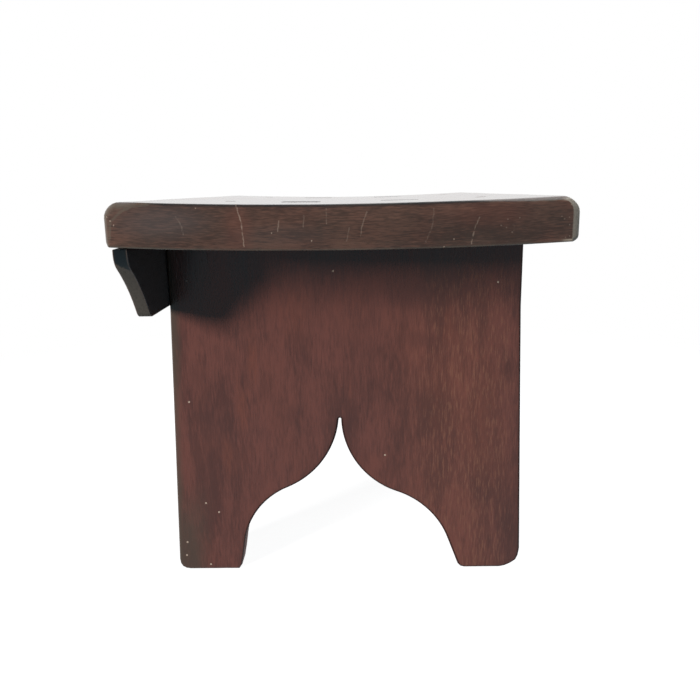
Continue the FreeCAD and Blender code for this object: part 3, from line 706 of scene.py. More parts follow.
# Soft patches and specks on the legs' near faces
LEG_REDS = (
    ((-57.5, 141.0), (4.5, 24.0), 1.00), ((-64.5, 112.0), (7.0, 28.0), 0.85),
    ((-76.0, 80.0), (5.0, 18.0), 0.70), ((-33.0, 172.0), (18.0, 28.0), 0.45),
    ((6.0, 176.0), (16.0, 26.0), 0.40), ((1.7, 122.0), (2.5, 12.0), 0.80),
    ((62.0, 164.0), (7.0, 18.0), 0.80), ((80.0, 100.0), (14.0, 30.0), 0.35),
)
LEG_DARKS = (
    ((-92.5, 131.0), (9.0, 11.0), 0.50), ((38.0, 182.0), (19.0, 14.0), 1.00),
    ((43.0, 154.0), (16.0, 8.0), 0.50), ((-32.4, 106.3), (12.0, 10.0), 0.45),
    ((27.1, 68.9), (10.0, 10.0), 0.40),
)
LEG_SPECKS = (
    (-98.4, 115.5), (-91.9, 47.2), (-83.8, 40.8), (-105.7, 19.7), (-106.7, 10.3),
    (-91.2, 3.6), (23.9, 79.1), (-6.8, 196.3), (91.8, 188.4), (-94.7, 191.4),
)
SPECK_SIZE = 0.8 * MM

# Where the legs' finish starts to change and has changed: across them, up them, in from their left
# edge, from the middle of their thickness, below the seat and behind the near face
# LIT_SIDE spans the legs' right part, which is lightened as painted light
LIT_SIDE_RISE, LIT_SIDE_FALL = (0.0, 60.0 * MM), (110.0 * MM, 78.0 * MM)
GLINT_RISE, GLINT_FALL = (30.0 * MM, 68.0 * MM), (112.0 * MM, 90.0 * MM)
# SHADE_ACROSS and SHADE_UP span the painted shade high on the legs, under the plank
SHADE_ACROSS, SHADE_UP = (-70.0 * MM, 5.0 * MM), (148.0 * MM, 186.0 * MM)
LEFT_EDGE = (-58.0 * MM, -76.0 * MM)
RUBBED_BAND = (7.0 * MM, 1.0 * MM)
DIRT_IN, DIRT_UP = (23.0 * MM, 8.0 * MM), (66.0 * MM, 24.0 * MM)
SAWN_EDGE = (7.0 * MM, 6.0 * MM)
TENON_TOP = (1.5 * MM, 0.5 * MM)
NEAR_FACE = (1.2 * MM, 0.4 * MM)
PATCH_SWAY, STRAND_SWAY = 22.0 * MM, 6.0 * MM

# Painted light: how much the legs' right part is lightened, as if the lamp fell stronger there
LIT_SIDE_GAIN = (1.18, 1.16, 1.10)
GLINT = (0.21, 0.098, 0.058)


def leg_finish(look):
    """Red-brown stain in fine flecks, olive where the left edge is rubbed and the left foot is dirty, with
    painted light on the right part and painted shade under the plank and along the edges.
    """
    material, finish = new_finish("stained_leg_board")
    shift = (0.0, 4.3, 0.0)
    spot = finish.spot()
    across, deep, up = finish.split(spot)
    face = finish.join(across, 0.0, up)
    tones = look.leg_dark, look.leg_light, look.red_glow
    colour, grain = stained_board(finish, spot, spot, LEG_CLOUDS, shift, tones, 0.16)
    # Painted light: lighten the right part of the legs
    colour = finish.blend(finish.between(across, LIT_SIDE_RISE, LIT_SIDE_FALL), colour, LIT_SIDE_GAIN, "MULTIPLY")
    glowing = finish.between(across, GLINT_RISE, GLINT_FALL)
    glints = finish.fade(grain["thread"] * 0.85 + grain["fleck"] * 0.15, 0.54, 0.68) * glowing
    streaks = finish.fade(grain["strand"] * 0.6 + grain["fleck"] * 0.4, 0.36, 0.62)
    # Painted shade, high on the legs under the plank's overhang
    shade_under_plank = finish.fade(up, *SHADE_UP) * finish.fade(across, *SHADE_ACROSS)

    inset = across + HALF_FOOT - up.sum("MINIMUM", up, FLARE_START) * (FLARE / FLARE_START)
    uneven = (grain["patch"] - 0.5) * PATCH_SWAY + (grain["strand"] - 0.5) * STRAND_SWAY
    band = finish.fade(inset + uneven * 0.4, *RUBBED_BAND)
    dirt = finish.fade(inset + uneven, *DIRT_IN) * finish.fade(up + uneven, *DIRT_UP)
    wear, rubbed = rubbed_edges(finish, spot, shift)
    left = finish.fade(across, *LEFT_EDGE)
    # Painted shade: a dark line along the eased edges, except on the left
    arris = finish.fade(wear, 0.0, 0.16) * (1.0 - left)
    from_middle = finish.split(finish.vector("ABSOLUTE", spot))[1] - LEG_MIDDLES[1]
    sawn = finish.fade(from_middle * from_middle, *(depth ** 2 for depth in SAWN_EDGE))
    tenon_end = finish.fade(SEAT_HEIGHT - up, *TENON_TOP)
    marks = specks(finish, face, LEG_SPECKS, SPECK_SIZE) * finish.fade(deep - LEG_LOW.y, *NEAR_FACE)

    # Dark tone for deeper stain on the sawn edges, and for painted shade under the plank and along the
    # edges
    dark_stain_and_shade = toned(look.leg_dark, 0.5)
    colour = finish.coats(
        colour,
        (glints * 0.42, GLINT),
        (pools(finish, face, LEG_REDS) * streaks * 0.85, look.red_glow),
        # Painted shade under the plank
        (shade_under_plank * 0.28, dark_stain_and_shade),
        (pools(finish, face, LEG_DARKS) * 0.7, look.leg_dark),
        (band.most(dirt * 0.85) * 0.8, look.olive),
        (rubbed * left * 0.55, look.rubbed),
        # Painted shade along the eased edges
        (arris * 0.9, toned(dark_stain_and_shade, 0.5)),
        # Sawn edges: deeper stain and painted shade
        (sawn * 0.6, dark_stain_and_shade),
        (tenon_end * 0.55, look.painted_shade_and_grime),
        (marks, look.bare),
    )
    dull = sawn.most(arris) * (1.0 - tenon_end) * 0.4
    roughness = 0.20 + grain["patch"] * 0.08 + grain["fleck"] * 0.06 + dull - tenon_end * 0.10
    height = grain["relief"] - marks * 0.8
    put_shader(finish, {
        "Base Color": colour, "Roughness": roughness, "Specular IOR Level": 0.25, "Specular Tint": HAZE,
        "Coat Weight": tenon_end * 0.16, "Coat Roughness": GLOSS,
        "Normal": bump_of(finish, height, 0.05 * MM),
    })
    return material


# Where the apron's finish starts to change and has changed, in from its faces
APRON_SKIN = (0.2 * MM, 0.9 * MM)
INNER_FACE = (0.4 * MM, 0.1 * MM)
# Bare wood on the apron's inner face, cooled blue-grey as a painted reflection of the room
INNER_BARE_AND_SHEEN = (0.100, 0.118, 0.128)

# Painted shadow of the plank on the apron's noses, which reaches further down on the inner side
NOSE_SHADE_LINE = 209.2 * MM
NOSE_SHADE_FALL = 0.62
NOSE_SHADE_EDGE = (-0.8 * MM, 0.8 * MM)
NOSE_SHADE_SWAY = 2.0 * MM


def apron_finish(look):
    """Dark stain on the faces, grey weathered wood on the sawn ends, painted shadow of the plank on the
    noses, and a painted blue-grey reflection on the bare inner face.
    """
    material, finish = new_finish("stained_apron_board")
    shift = (8.8, 1.3, 5.4)
    spot = finish.spot()
    across, along, up = finish.split(spot)
    lay = finish.join(up, across, along)
    tones = look.plank_dark, look.plank_light, look.red_glow
    colour, grain = stained_board(finish, lay, lay, APRON_CLOUDS, shift, tones, 0.15)
    from_outside, from_inside = across - APRON_LOW.x, APRON_HIGH.x - across
    sawn = finish.fade(from_outside, *APRON_SKIN) * finish.fade(from_inside, *APRON_SKIN)
    weather = finish.fade(grain["fleck"] * 0.6 + grain["patch"] * 0.4, 0.34, 0.66)
    grey = finish.blend(weather, toned(look.weathered, 0.82), toned(look.weathered, 1.18))
    line = from_outside * -NOSE_SHADE_FALL + NOSE_SHADE_LINE
    # Painted shadow of the plank on the upper part of the noses
    painted_shade_and_grime = finish.fade(up - line + (grain["fleck"] - 0.5) * NOSE_SHADE_SWAY, *NOSE_SHADE_EDGE) * sawn
    _, rubbed = rubbed_edges(finish, spot, shift)
    colour = finish.coats(
        colour,
        (sawn, grey),
        # Painted shadow on the noses
        (painted_shade_and_grime, look.painted_shade_and_grime),
        # Painted reflection: bare inner face tinted blue-grey
        (finish.fade(from_inside, *INNER_FACE) * 0.9, INNER_BARE_AND_SHEEN),
        (rubbed * 0.5, look.rubbed),
    )
    roughness = 0.24 + grain["patch"] * 0.10 + grain["fleck"] * 0.06 + sawn * 0.4
    put_shader(finish, {
        "Base Color": colour, "Roughness": roughness, "Specular IOR Level": 0.32, "Specular Tint": HAZE,
        "Normal": bump_of(finish, grain["relief"], 0.14 * MM),
    })
    return material


WEDGE_PORES = (1400.0, 1400.0, 80.0)
WEDGE_LINES = (40.0, 1600.0, 60.0)


def wedge_finish(look):
    """Dark, waxed end grain with fine lines across the wedge."""
    material, finish = new_finish("dark_wedge_end_grain")
    spot = finish.spot()
    pores = finish.grain(spot, WEDGE_PORES, detail=3.0, roughness=0.6)
    lines = finish.grain(spot, WEDGE_LINES)
    pale = finish.fade(pores * 0.6 + lines * 0.4, 0.36, 0.66)
    colour = finish.blend(pale, look.wedge, toned(look.wedge, 1.9))
    put_shader(finish, {
        "Base Color": colour, "Roughness": 0.12 + pores * 0.1, "Specular IOR Level": 0.3,
        "Coat Weight": 0.25, "Coat Roughness": GLOSS,
        "Normal": bump_of(finish, pores + lines, 0.2 * MM),
    })
    return material


PITTING = (700.0, 700.0, 700.0)
RUST_SPOTS, RUST_SHIFT = (240.0, 240.0, 240.0), (2.0, 5.0, 1.0)


def nail_finish(look):
    """Dull pitted iron with rust in its hollows."""
    material, finish = new_finish("dull_nail_iron")
    spot = finish.spot()
    pitting = finish.grain(spot, PITTING, detail=4.0, roughness=0.6)
    stain = finish.grain(spot, RUST_SPOTS, RUST_SHIFT, detail=3.0)
    rust = finish.fade(pitting * 0.5 + stain * 0.5, 0.44, 0.60)
    put_shader(finish, {
        "Base Color": finish.blend(rust, look.iron, look.rust), "Metallic": 0.85 - rust * 0.7,
        "Roughness": 0.42 + rust * 0.35, "Specular IOR Level": 0.3,
        "Normal": bump_of(finish, pitting, 0.25 * MM),
    })
    return material


# The plank

PLANK_ACROSS = (-98.0, -89.0, -80.0, -55.0, -45.0, -5.0, 5.0, 14.0, 53.0, 62.0, 70.0, 93.0, 100.0)
UPPER_STEPS, SIDE_STEPS, LOWER_STEPS = 7, 2, 5
WAVE_GRAIN, KNOCK_GRAIN = 90.0 * MM, 14.0 * MM
NAIL_HEAD = 5.6 * MM
NAIL_ROOM = 0.15 * MM
NAIL_SINK = 1.9 * MM
PLANK_NAILS = (TOP_NAILS_LOW.x + NAIL_HEAD / 2, TOP_NAILS_HIGH.x - NAIL_HEAD / 2)
SPAN_ROOM = 0.2 * MM

# Rings of vertices round the plank: millimetres in from its ends, and the gap between the others
END_RINGS = (0.3, 0.7, 1.2, 1.8, 2.6, 3.6, 4.8, 6.2, 8.5, 12.0, 18.0)
RING_GAP = 11.0 * MM

# Roundings of the plank's ends: how far they cut in, how far they run along the plank, how full they are
ROUND, FLAT = 2.0, 1.15
END_RUN = 4.2 * MM
UNDER_EASE = 1.0 * MM
WORN_FROM, WORN_TO = -92.0 * MM, -108.3 * MM
WORN_CORNER = 6.7 * MM
SLOPE_SPAN = (58.0 * MM, 100.0 * MM)
SLOPE_DEPTH, SLOPE_RUN = 2.6 * MM, 7.0 * MM
FLAT_CORNER, FLAT_RUN = 4.2 * MM, 2.6 * MM
SIDE_FACING, UP_FACING = (0.25, 1.0), (0.0, 0.5)


def plank_rings():
    """Places along the plank where its outline is repeated, from end to end."""
    ends = {HALF_LENGTH - gap * MM for gap in (0.0, *END_RINGS)}
    nails = {LEG_MIDDLES[1] + side * (NAIL_HEAD / 2 + NAIL_ROOM) for side in (-1, 1)}
    mortises = {REAR_LEG_LOW.y - JOINT_GAP, REAR_LEG_HIGH.y + JOINT_GAP}
    marks = sorted(ends | nails | mortises | {0.0})
    half = []
    for low, high in zip(marks, marks[1:]):
        count = max(round((high - low) / RING_GAP), 1)
        half += [low + (high - low) * step / count for step in range(count)]
    half.append(HALF_LENGTH)
    return sorted({-place for place in half[1:]}) + half


def plank_stations():
    """Places across the plank where its faces have a line of vertices."""
    tenons = [end + side * JOINT_GAP for span in TENON_SPANS for end, side in zip(span, (-1, 1))]
    nails = [nail + side * (NAIL_HEAD / 2 + NAIL_ROOM) for nail in PLANK_NAILS for side in (-1, 1)]
    return sorted([place * MM for place in PLANK_ACROSS] + tenons + nails)


def draw_plank_outline(sizes, start_y):
    """The plank's end: hollow top, rounded edges, and an underside with the same hollow."""
    upper, lower = sizes.plank_top_round, sizes.plank_under_round
    upper_x, lower_x = HALF_WIDTH - upper, HALF_WIDTH - lower
    upper_z, lower_z = cup(CUP_RADIUS + upper, upper_x), cup(UNDER_RADIUS - lower, lower_x)
    top_x = upper_x * CUP_RADIUS / (CUP_RADIUS + upper)
    bottom_x = lower_x * UNDER_RADIUS / (UNDER_RADIUS - lower)
    top_z, bottom_z = cup(CUP_RADIUS, top_x), cup(UNDER_RADIUS, bottom_x)
    stations = plank_stations()
    line = Scribe("top_plank", (1, 0, 0), (0, 1, 0), start_y, (-top_x, top_z))
    line.lines(*((x, cup(CUP_RADIUS, x)) for x in stations), (top_x, top_z))
    line.arc((HALF_WIDTH, upper_z), (upper_x, upper_z), UPPER_STEPS)
    line.line((HALF_WIDTH, lower_z), SIDE_STEPS)
    line.arc((bottom_x, bottom_z), (lower_x, lower_z), LOWER_STEPS)
    line.lines(*((x, cup(UNDER_RADIUS, x)) for x in reversed(stations)), (-bottom_x, bottom_z))
    line.arc((-HALF_WIDTH, lower_z), (-lower_x, lower_z), LOWER_STEPS)
    line.line((-HALF_WIDTH, upper_z), SIDE_STEPS)
    line.arc((-top_x, top_z), (-upper_x, upper_z), UPPER_STEPS)
    return line.close()


def end_rounding(sizes, place, outward):
    """Two roundings of the plank's end, sideways and up, at a place on its outline."""
    ease = sizes.plank_end_ease
    under = UNDER_EASE, UNDER_EASE, ROUND
    if place.y < 0.0 < place.x:
        sloped = smooth(*SLOPE_SPAN, place.x)
        upper = ease + sloped * (SLOPE_DEPTH - ease), ease + sloped * (SLOPE_RUN - ease), ROUND
        return (FLAT_CORNER, FLAT_RUN, FLAT), upper if outward.z > 0.0 else under
    depth = ease + smooth(*SIDE_FACING, abs(outward.x)) * (sizes.plank_corner_round - ease)
    if place.y < 0.0 < outward.z:
        worn = min(max((place.x - WORN_FROM) / (WORN_TO - WORN_FROM), 0.0), 1.0)
        depth = max(depth, worn ** 2 * smooth(*UP_FACING, outward.z) * WORN_CORNER)
    rounding = depth, min(depth, END_RUN), ROUND
    return rounding, rounding if outward.z > 0.0 else under


def rounded_off(gap, depth, run, fullness):
    """How far a rounding takes the surface in at this distance from the plank's end."""
    left = max(1.0 - gap / run, 0.0)
    return depth * (1.0 - (1.0 - left ** fullness) ** (1.0 / fullness))


def outline_key(place):
    """Names a place on the outline, to a hundredth of a millimetre."""
    return round(place.x, 5), round(place.z, 5)


def ease_plank_ends(plank, sizes):
    """Round the end arrises, more at the upright corners and most at the worn corners of the near end."""
    plank.data.update()
    flow = {}
    for vertex in plank.data.vertices:
        if abs(vertex.co.y) < NEAR:
            flow[outline_key(vertex.co)] = vertex.normal.copy()
    for vertex in plank.data.vertices:
        outward = flow.get(outline_key(vertex.co))
        if outward is None:
            continue
        sideways, upward = end_rounding(sizes, vertex.co, outward)
        gap = HALF_LENGTH - abs(vertex.co.y)
        vertex.co.x -= outward.x * rounded_off(gap, *sideways)
        vertex.co.z -= outward.z * rounded_off(gap, *upward)


def in_span(value, span):
    return span[0] - SPAN_ROOM < value < span[1] + SPAN_ROOM


def cut_mortises(plank):
    """Join the openings in the two faces, so that each tenon has a mortise right through."""
    for middle in LEG_MIDDLES:
        for span in TENON_SPANS:
            pick(plank, "FACE", lambda face: (
                abs(face.normal.z) > FACING and in_span(face.calc_center_median().x, span)
                and abs(face.calc_center_median().y - middle) < (LEG_HIGH.y - LEG_LOW.y) / 2))
            bpy.ops.mesh.bridge_edge_loops()


def sink_nail_holes(plank):
    """Sink a square seat for each nail head into the top face."""
    half = NAIL_HEAD / 2
    for middle in LEG_MIDDLES:
        for nail in PLANK_NAILS:
            pick(plank, "FACE", lambda face: (
                face.normal.z > FACING and abs(face.calc_center_median().x - nail) < half
                and abs(face.calc_center_median().y - middle) < half))
            push((0.0, 0.0, -NAIL_SINK))


class STOOL_OT_top_plank(bpy.types.Operator):
    """Model the hollowed top plank with its mortises and worn ends"""

    bl_idname = "stool.top_plank"
    bl_label = "Top Plank"

    def execute(self, context):
        sizes = context.scene.stool_sizes
        rings = plank_rings()
        plank = draw_plank_outline(sizes, rings[0])
        for place, following in zip(rings, rings[1:]):
            push((0.0, following - place, 0.0))
        close_up()
        ease_plank_ends(plank, sizes)
        bpy.ops.object.mode_set(mode="EDIT")
        cut_mortises(plank)
        sink_nail_holes(plank)
        close_up()
        mark_wear(plank, ((0,), (1,), (2,)))
        knock_about(plank, "plank_waves", WAVE_GRAIN, sizes.plank_warp, everywhere=True)
        knock_about(plank, "plank_knocks", KNOCK_GRAIN, sizes.edge_dents)
        dress(plank, plank_finish(context.scene.stool_finish), "top_board")
        return {"FINISHED"}


# The leg boards

SHOULDER_MARKS = (-70.0, 5.0, 75.0)
SHOULDER_RADIUS = UNDER_RADIUS + JOINT_GAP
SHOULDER_FLOOR = 210.0 * MM
LEG_LAYERS = (4.0, 2.0, 3.0, 2.0, 4.0)
LEG_RIM = 2.4 * MM
BOARD_KNOCKS = 12.0 * MM
MANY_CORNERS = 20

# The legs' feet, in millimetres across and up, clockwise from the right side to the left
RIGHT_ANKLE = (111.4, 20.0)
RIGHT_CORNER_FOOT = ((111.6, 13.0), (110.9, 8.4), (109.4, 5.0), (106.0, 2.6), (102.4, 0.8), (99.0, 0.0))
RIGHT_SOLE = (76.0, 0.0)
RIGHT_INSTEP = ((73.4, 0.6), (71.6, 2.4), (70.2, 6.0))
ARCH_START = (64.65, 20.59)
LEFT_INSTEP = ((-69.1, 11.0), (-70.6, 3.0), (-72.6, 0.0))
LEFT_SOLE = (-105.0, 0.0)
LEFT_CORNER_FOOT = ((-107.8, 0.5), (-110.1, 1.9), (-111.4, 4.2), (-111.8, 7.2))

# Arcs of the ogee arch from right to left, with the small round peak between: end, centre, pieces
ARCH = (
    ((31.5, 53.8), (12.55, 1.74), 16),
    ((-3.5, 103.0), (49.69, 103.79), 22),
    ((-4.3, 103.8), (-4.3, 103.0), 3),
    ((-5.1, 103.0), (-4.3, 103.0), 3),
    ((-38.8, 57.2), (-60.25, 108.28), 22),
    ((-67.83, 19.41), (-20.18, 12.85), 16),
)


def mm(place):
    return (place[0] * MM, place[1] * MM)


def draw_leg_outline(start_y):
    """Shoulder, flared sides, worn feet, and the two unlike halves of the ogee arch."""
    shoulder = (HALF_SHOULDER, cup(SHOULDER_RADIUS, HALF_SHOULDER))
    marks = sorted([mark * MM for mark in SHOULDER_MARKS] + [end for span in TENON_SPANS for end in span])
    line = Scribe("front_leg", (1, 0, 0), (0, 1, 0), start_y, (-shoulder[0], shoulder[1]))
    line.lines(*((x, cup(SHOULDER_RADIUS, x)) for x in marks), shoulder)
    line.line((HALF_SHOULDER, FLARE_START), pieces=5)
    line.line(mm(RIGHT_ANKLE), pieces=18)
    line.lines(*map(mm, RIGHT_CORNER_FOOT))
    line.line(mm(RIGHT_SOLE), pieces=3)
    line.lines(*map(mm, RIGHT_INSTEP))
    line.line(mm(ARCH_START), pieces=2)
    for end, centre, pieces in ARCH:
        line.arc(mm(end), mm(centre), pieces)
    line.lines(*map(mm, LEFT_INSTEP))
    line.line(mm(LEFT_SOLE), pieces=4)
    line.lines(*map(mm, LEFT_CORNER_FOOT))
    line.line((-HALF_SHOULDER, FLARE_START), pieces=20)
    line.line((-shoulder[0], shoulder[1]), pieces=5)
    return line.close()


def raise_tenons(leg):
    """Draw up the two tenons, each split by a kerf for its wedge."""
    kerf = LEG_LAYERS[2] * MM / 2

    def takes(face):
        centre = face.calc_center_median()
        return (face.normal.z > FACING and centre.z > SHOULDER_FLOOR
                and abs(centre.y - LEG_MIDDLES[0]) > kerf
                and any(in_span(centre.x, span) for span in TENON_SPANS))

    pick(leg, "FACE", takes)
    push((0.0, 0.0, SHOULDER_RADIUS - CUP_RADIUS + TENON_STAND - TENON_CROWN))
    bpy.ops.mesh.inset(thickness=TENON_CROWN, depth=TENON_CROWN)


def ease_edges(board, axis, low, high, ceiling, ease, rim):
    """Round the sawn arrises of a board's two faces below the ceiling, and leave a rim inside each."""

    def on_face(vertex):
        return min(abs(vertex.co[axis] - low), abs(vertex.co[axis] - high)) < HAIR

    def takes(edge):
        return all(on_face(vertex) and vertex.co.z < ceiling for vertex in edge.verts) and (
            abs(edge.verts[0].co[axis] - edge.verts[1].co[axis]) < HAIR)

    pick(board, "EDGE", takes)
    bpy.ops.mesh.bevel(offset=ease, segments=3, affect="EDGES", clamp_overlap=False)
    pick(board, "FACE", lambda face: abs(face.normal[axis]) > SQUARE_ON and len(face.verts) > MANY_CORNERS)
    bpy.ops.mesh.inset(thickness=rim, use_individual=True)


class STOOL_OT_leg_boards(bpy.types.Operator):
    """Model one leg board with its ogee arch and split tenons, and copy it to the other end"""

    bl_idname = "stool.leg_boards"
    bl_label = "Leg Boards"

    def execute(self, context):
        sizes = context.scene.stool_sizes
        leg = draw_leg_outline(LEG_LOW.y)
        for layer in LEG_LAYERS:
            push((0.0, layer * MM, 0.0))
        face_outwards()
        raise_tenons(leg)
        ceiling = cup(SHOULDER_RADIUS, HALF_SHOULDER) + NEAR
        ease_edges(leg, 1, LEG_LOW.y, LEG_HIGH.y, ceiling, sizes.leg_ease, LEG_RIM)
        close_up()
        mark_wear(leg, ((1,), (0, 2)))
        knock_about(leg, "leg_knocks", BOARD_KNOCKS, sizes.edge_dents)
        rear = copy_piece(leg, "rear_leg", (0.0, LEG_STEP, 0.0))
        material = leg_finish(context.scene.stool_finish)
        for board, node in ((leg, "front_leg_board"), (rear, "rear_leg_board")):
            take_up(board)
            dress(board, material, node)
            use_modifier(board, "WEIGHTED_NORMAL", keep_sharp=True)
        return {"FINISHED"}


# The apron

NOSE_DROP = 3.0 * MM
NOSE_RADIUS = 10.0 * MM
COVE_RADIUS = 100.0 * MM
COVE_REACH = 31.6 * MM
HEEL_ROUND = 2.8 * MM
APRON_RISE = 0.1 * MM
APRON_DIP = 0.6 * MM
DIP_LENGTH = 45.0 * MM
APRON_LAYERS = (2.2, 3.2, 2.2)
APRON_RIM = 1.6 * MM
APRON_DENTS = 0.5
APRON_NAIL_HEAD = 4.4 * MM
APRON_NAIL_SEAT = 1.6 * MM
APRON_NAIL_HEIGHTS = (APRON_NAILS_LOW.z + APRON_NAIL_HEAD / 2, APRON_NAILS_HIGH.z - APRON_NAIL_HEAD / 2)


def draw_apron_outline(start_x):
    """A rail with an ogee sawn at each end: a round nose that runs into a long cove."""
    tip, top, bottom = APRON_HIGH.y, APRON_HIGH.z + APRON_RISE, APRON_LOW.z
    dip = (-tip, APRON_HIGH.z - APRON_DIP)
    heel = Vector((tip - COVE_REACH, bottom))
    nose_end = Vector((tip, APRON_HIGH.z - NOSE_DROP))
    nose = nose_end - Vector((NOSE_RADIUS, 0.0))
    reach = NOSE_RADIUS + COVE_RADIUS
    run = heel - nose
    opening = math.acos((reach ** 2 + run.length_squared - COVE_RADIUS ** 2) / (2 * reach * run.length))
    heading = math.atan2(run.y, run.x) + opening
    aim = Vector((math.cos(heading), math.sin(heading)))
    turn = nose + aim * NOSE_RADIUS
    cove = nose + aim * reach

    def front(place):
        return (-place[0], place[1])

    line = Scribe("side_rail", (0, 1, 0), (1, 0, 0), start_x, dip)
    line.line((DIP_LENGTH - tip, top), pieces=5)
    line.line((tip, top), pieces=25)
    line.line(tuple(nose_end))
    line.arc(tuple(turn), nose, pieces=6)
    line.arc(tuple(heel), cove, pieces=10)
    line.line(front(heel), pieces=26)
    line.arc(front(turn), front(cove), pieces=10)
    line.arc(front(nose_end), front(nose), pieces=6)
    line.line(dip)
    return line.close()


def round_heels(apron):
    """Round off the two ends of the lower edge."""
    heel = APRON_HIGH.y - COVE_REACH
    pick(apron, "EDGE", lambda edge: all(
        abs(abs(vertex.co.y) - heel) < NEAR and vertex.co.z < APRON_LOW.z + NEAR
        for vertex in edge.verts))
    bpy.ops.mesh.bevel(offset=HEEL_ROUND, segments=3, affect="EDGES")


def cut_nail_seats(apron):
    """Sink a square seat for each nail head into the outer face."""
    half = APRON_NAIL_HEAD / 2 + NAIL_ROOM
    reach = Vector((APRON_NAIL_SEAT, half, half))
    for middle in LEG_MIDDLES:
        for height in APRON_NAIL_HEIGHTS:
            place = Vector((APRON_LOW.x, middle, height))
            cutter = add_block("seat_cutter", place - reach, place + reach)
            bpy.ops.object.mode_set(mode="OBJECT")
            take_up(apron)
            use_modifier(apron, "BOOLEAN", object=cutter, operation="DIFFERENCE", solver="EXACT")
            bpy.data.objects.remove(cutter)


class STOOL_OT_side_apron(bpy.types.Operator):
    """Model the thin apron with its ogee ends"""

    bl_idname = "stool.side_apron"
    bl_label = "Side Apron"

    def execute(self, context):
        sizes = context.scene.stool_sizes
        apron = draw_apron_outline(APRON_LOW.x)
        for layer in APRON_LAYERS:
            push((layer * MM, 0.0, 0.0))
        face_outwards()
        round_heels(apron)
        ease_edges(apron, 0, APRON_LOW.x, APRON_HIGH.x, APRON_HIGH.z + MM, sizes.apron_ease, APRON_RIM)
        close_up()
        mark_wear(apron, ((0,), (1, 2)))
        knock_about(apron, "apron_knocks", BOARD_KNOCKS, sizes.edge_dents * APRON_DENTS)
        cut_nail_seats(apron)
        dress(apron, apron_finish(context.scene.stool_finish), "side_apron")
        use_modifier(apron, "WEIGHTED_NORMAL", keep_sharp=True)
        return {"FINISHED"}


# The wedges

def hammer(piece, top, ease, segments, cuts, roughness, seed):
    """Round the arrises of a small piece's top, roughen the face between them and close the piece up."""
    pick(piece, "EDGE", lambda edge: all(vertex.co.z > top - HAIR for vertex in edge.verts))
    bpy.ops.mesh.bevel(offset=ease, segments=segments, affect="EDGES")
    pick(piece, "FACE", lambda face: face.normal.z > SQUARE_ON)
    bpy.ops.mesh.subdivide(number_cuts=cuts)
    bpy.ops.transform.vertex_random(offset=roughness, seed=seed)
    close_up()


WEDGE_TIP_SHARE = 0.8 / 3.0
WEDGE_EASE = 0.3 * MM
WEDGE_SINK = Vector((0.0, 0.0, 0.56 * MM))
WEDGE_ROUGHNESS = 0.08 * MM


class STOOL_OT_wedges(bpy.types.Operator):
    """Model the tapered wedges that spread the tenons"""

    bl_idname = "stool.wedges"
    bl_label = "Wedges"

    def execute(self, context):
        material = wedge_finish(context.scene.stool_finish)
        for seed, (node, (low, top)) in enumerate(WEDGE_BOXES.items()):
            high = top - WEDGE_SINK
            tip = ((low.x + high.x) / 2, (low.y + high.y) / 2, low.z)
            wedge = add_block(node.replace("_wedge", "_slip"), low, high)
            pick(wedge, "FACE", lambda face: face.normal.z < -FACING)
            bpy.ops.transform.resize(value=(1.0, WEDGE_TIP_SHARE, 1.0), center_override=tip)
            hammer(wedge, high.z, WEDGE_EASE, segments=2, cuts=5, roughness=WEDGE_ROUGHNESS, seed=seed)
            dress(wedge, material, node)
        return {"FINISHED"}


# The nails

NAIL_HEAD_HEIGHT = 1.2 * MM
NAIL_SHANK = 2.6 * MM
NAIL_POINT = 6.0 * MM
NAIL_TIP_SHARE = 0.9 / 2.6
NAIL_HEAD_EASE = 0.6 * MM
NAIL_ROUGHNESS = 0.12 * MM


def forge_nail(name, head, length):
    """A square cut nail with a hammered head, its face at the origin and its point below."""
    half = head / 2
    tip = (0.0, 0.0, -length)
    nail = add_block(name, Vector((-half, -half, -NAIL_HEAD_HEIGHT)), Vector((half, half, 0.0)))
    pick(nail, "FACE", lambda face: face.normal.z < -FACING)
    bpy.ops.mesh.inset(thickness=half - NAIL_SHANK / 2)
    push((0.0, 0.0, NAIL_HEAD_HEIGHT + NAIL_POINT - length))
    push((0.0, 0.0, -NAIL_POINT))
    bpy.ops.transform.resize(value=(NAIL_TIP_SHARE, NAIL_TIP_SHARE, 1.0), center_override=tip)
    hammer(nail, 0.0, NAIL_HEAD_EASE, segments=3, cuts=3, roughness=NAIL_ROUGHNESS, seed=len(name))
    return nail


class STOOL_OT_nails(bpy.types.Operator):
    """Forge one nail for the plank and one for the apron, and copy them to their places"""

    bl_idname = "stool.nails"
    bl_label = "Nails"

    def execute(self, context):
        material = nail_finish(context.scene.stool_finish)
        plank_nail = forge_nail("plank_nail", NAIL_HEAD, TOP_NAILS_HIGH.z - TOP_NAILS_LOW.z)
        apron_nail = forge_nail("apron_nail", APRON_NAIL_HEAD, APRON_NAILS_HIGH.x - APRON_NAILS_LOW.x)
        apron_nail.rotation_euler = (0.0, -math.pi / 2, 0.0)
        bpy.ops.object.transform_apply(rotation=True)
        places = [(plank_nail, "top_nails", (nail, middle, TOP_NAILS_HIGH.z))
                  for middle in LEG_MIDDLES for nail in PLANK_NAILS]
        places += [(apron_nail, "apron_nails", (APRON_NAILS_LOW.x, middle, height))
                   for middle in LEG_MIDDLES for height in APRON_NAIL_HEIGHTS]
        for count, (nail, node, place) in enumerate(places):
            made = copy_piece(nail, f"{nail.name}_{count}", place)
            dress(made, material, node)
        for nail in (plank_nail, apron_nail):
            bpy.data.objects.remove(nail)
        return {"FINISHED"}


# The stage

CAMERA_PLACE = Vector((8.71, -519.1, 243.8)) * MM
CAMERA_YAW = math.radians(-0.824)
CAMERA_PITCH = math.radians(12.942)
CAMERA_ROLL = 0.0145
CAMERA_NEAR = 10.0 * MM
SENSOR = 36.0
AIM = Vector((0.0, 0.0, 0.13))

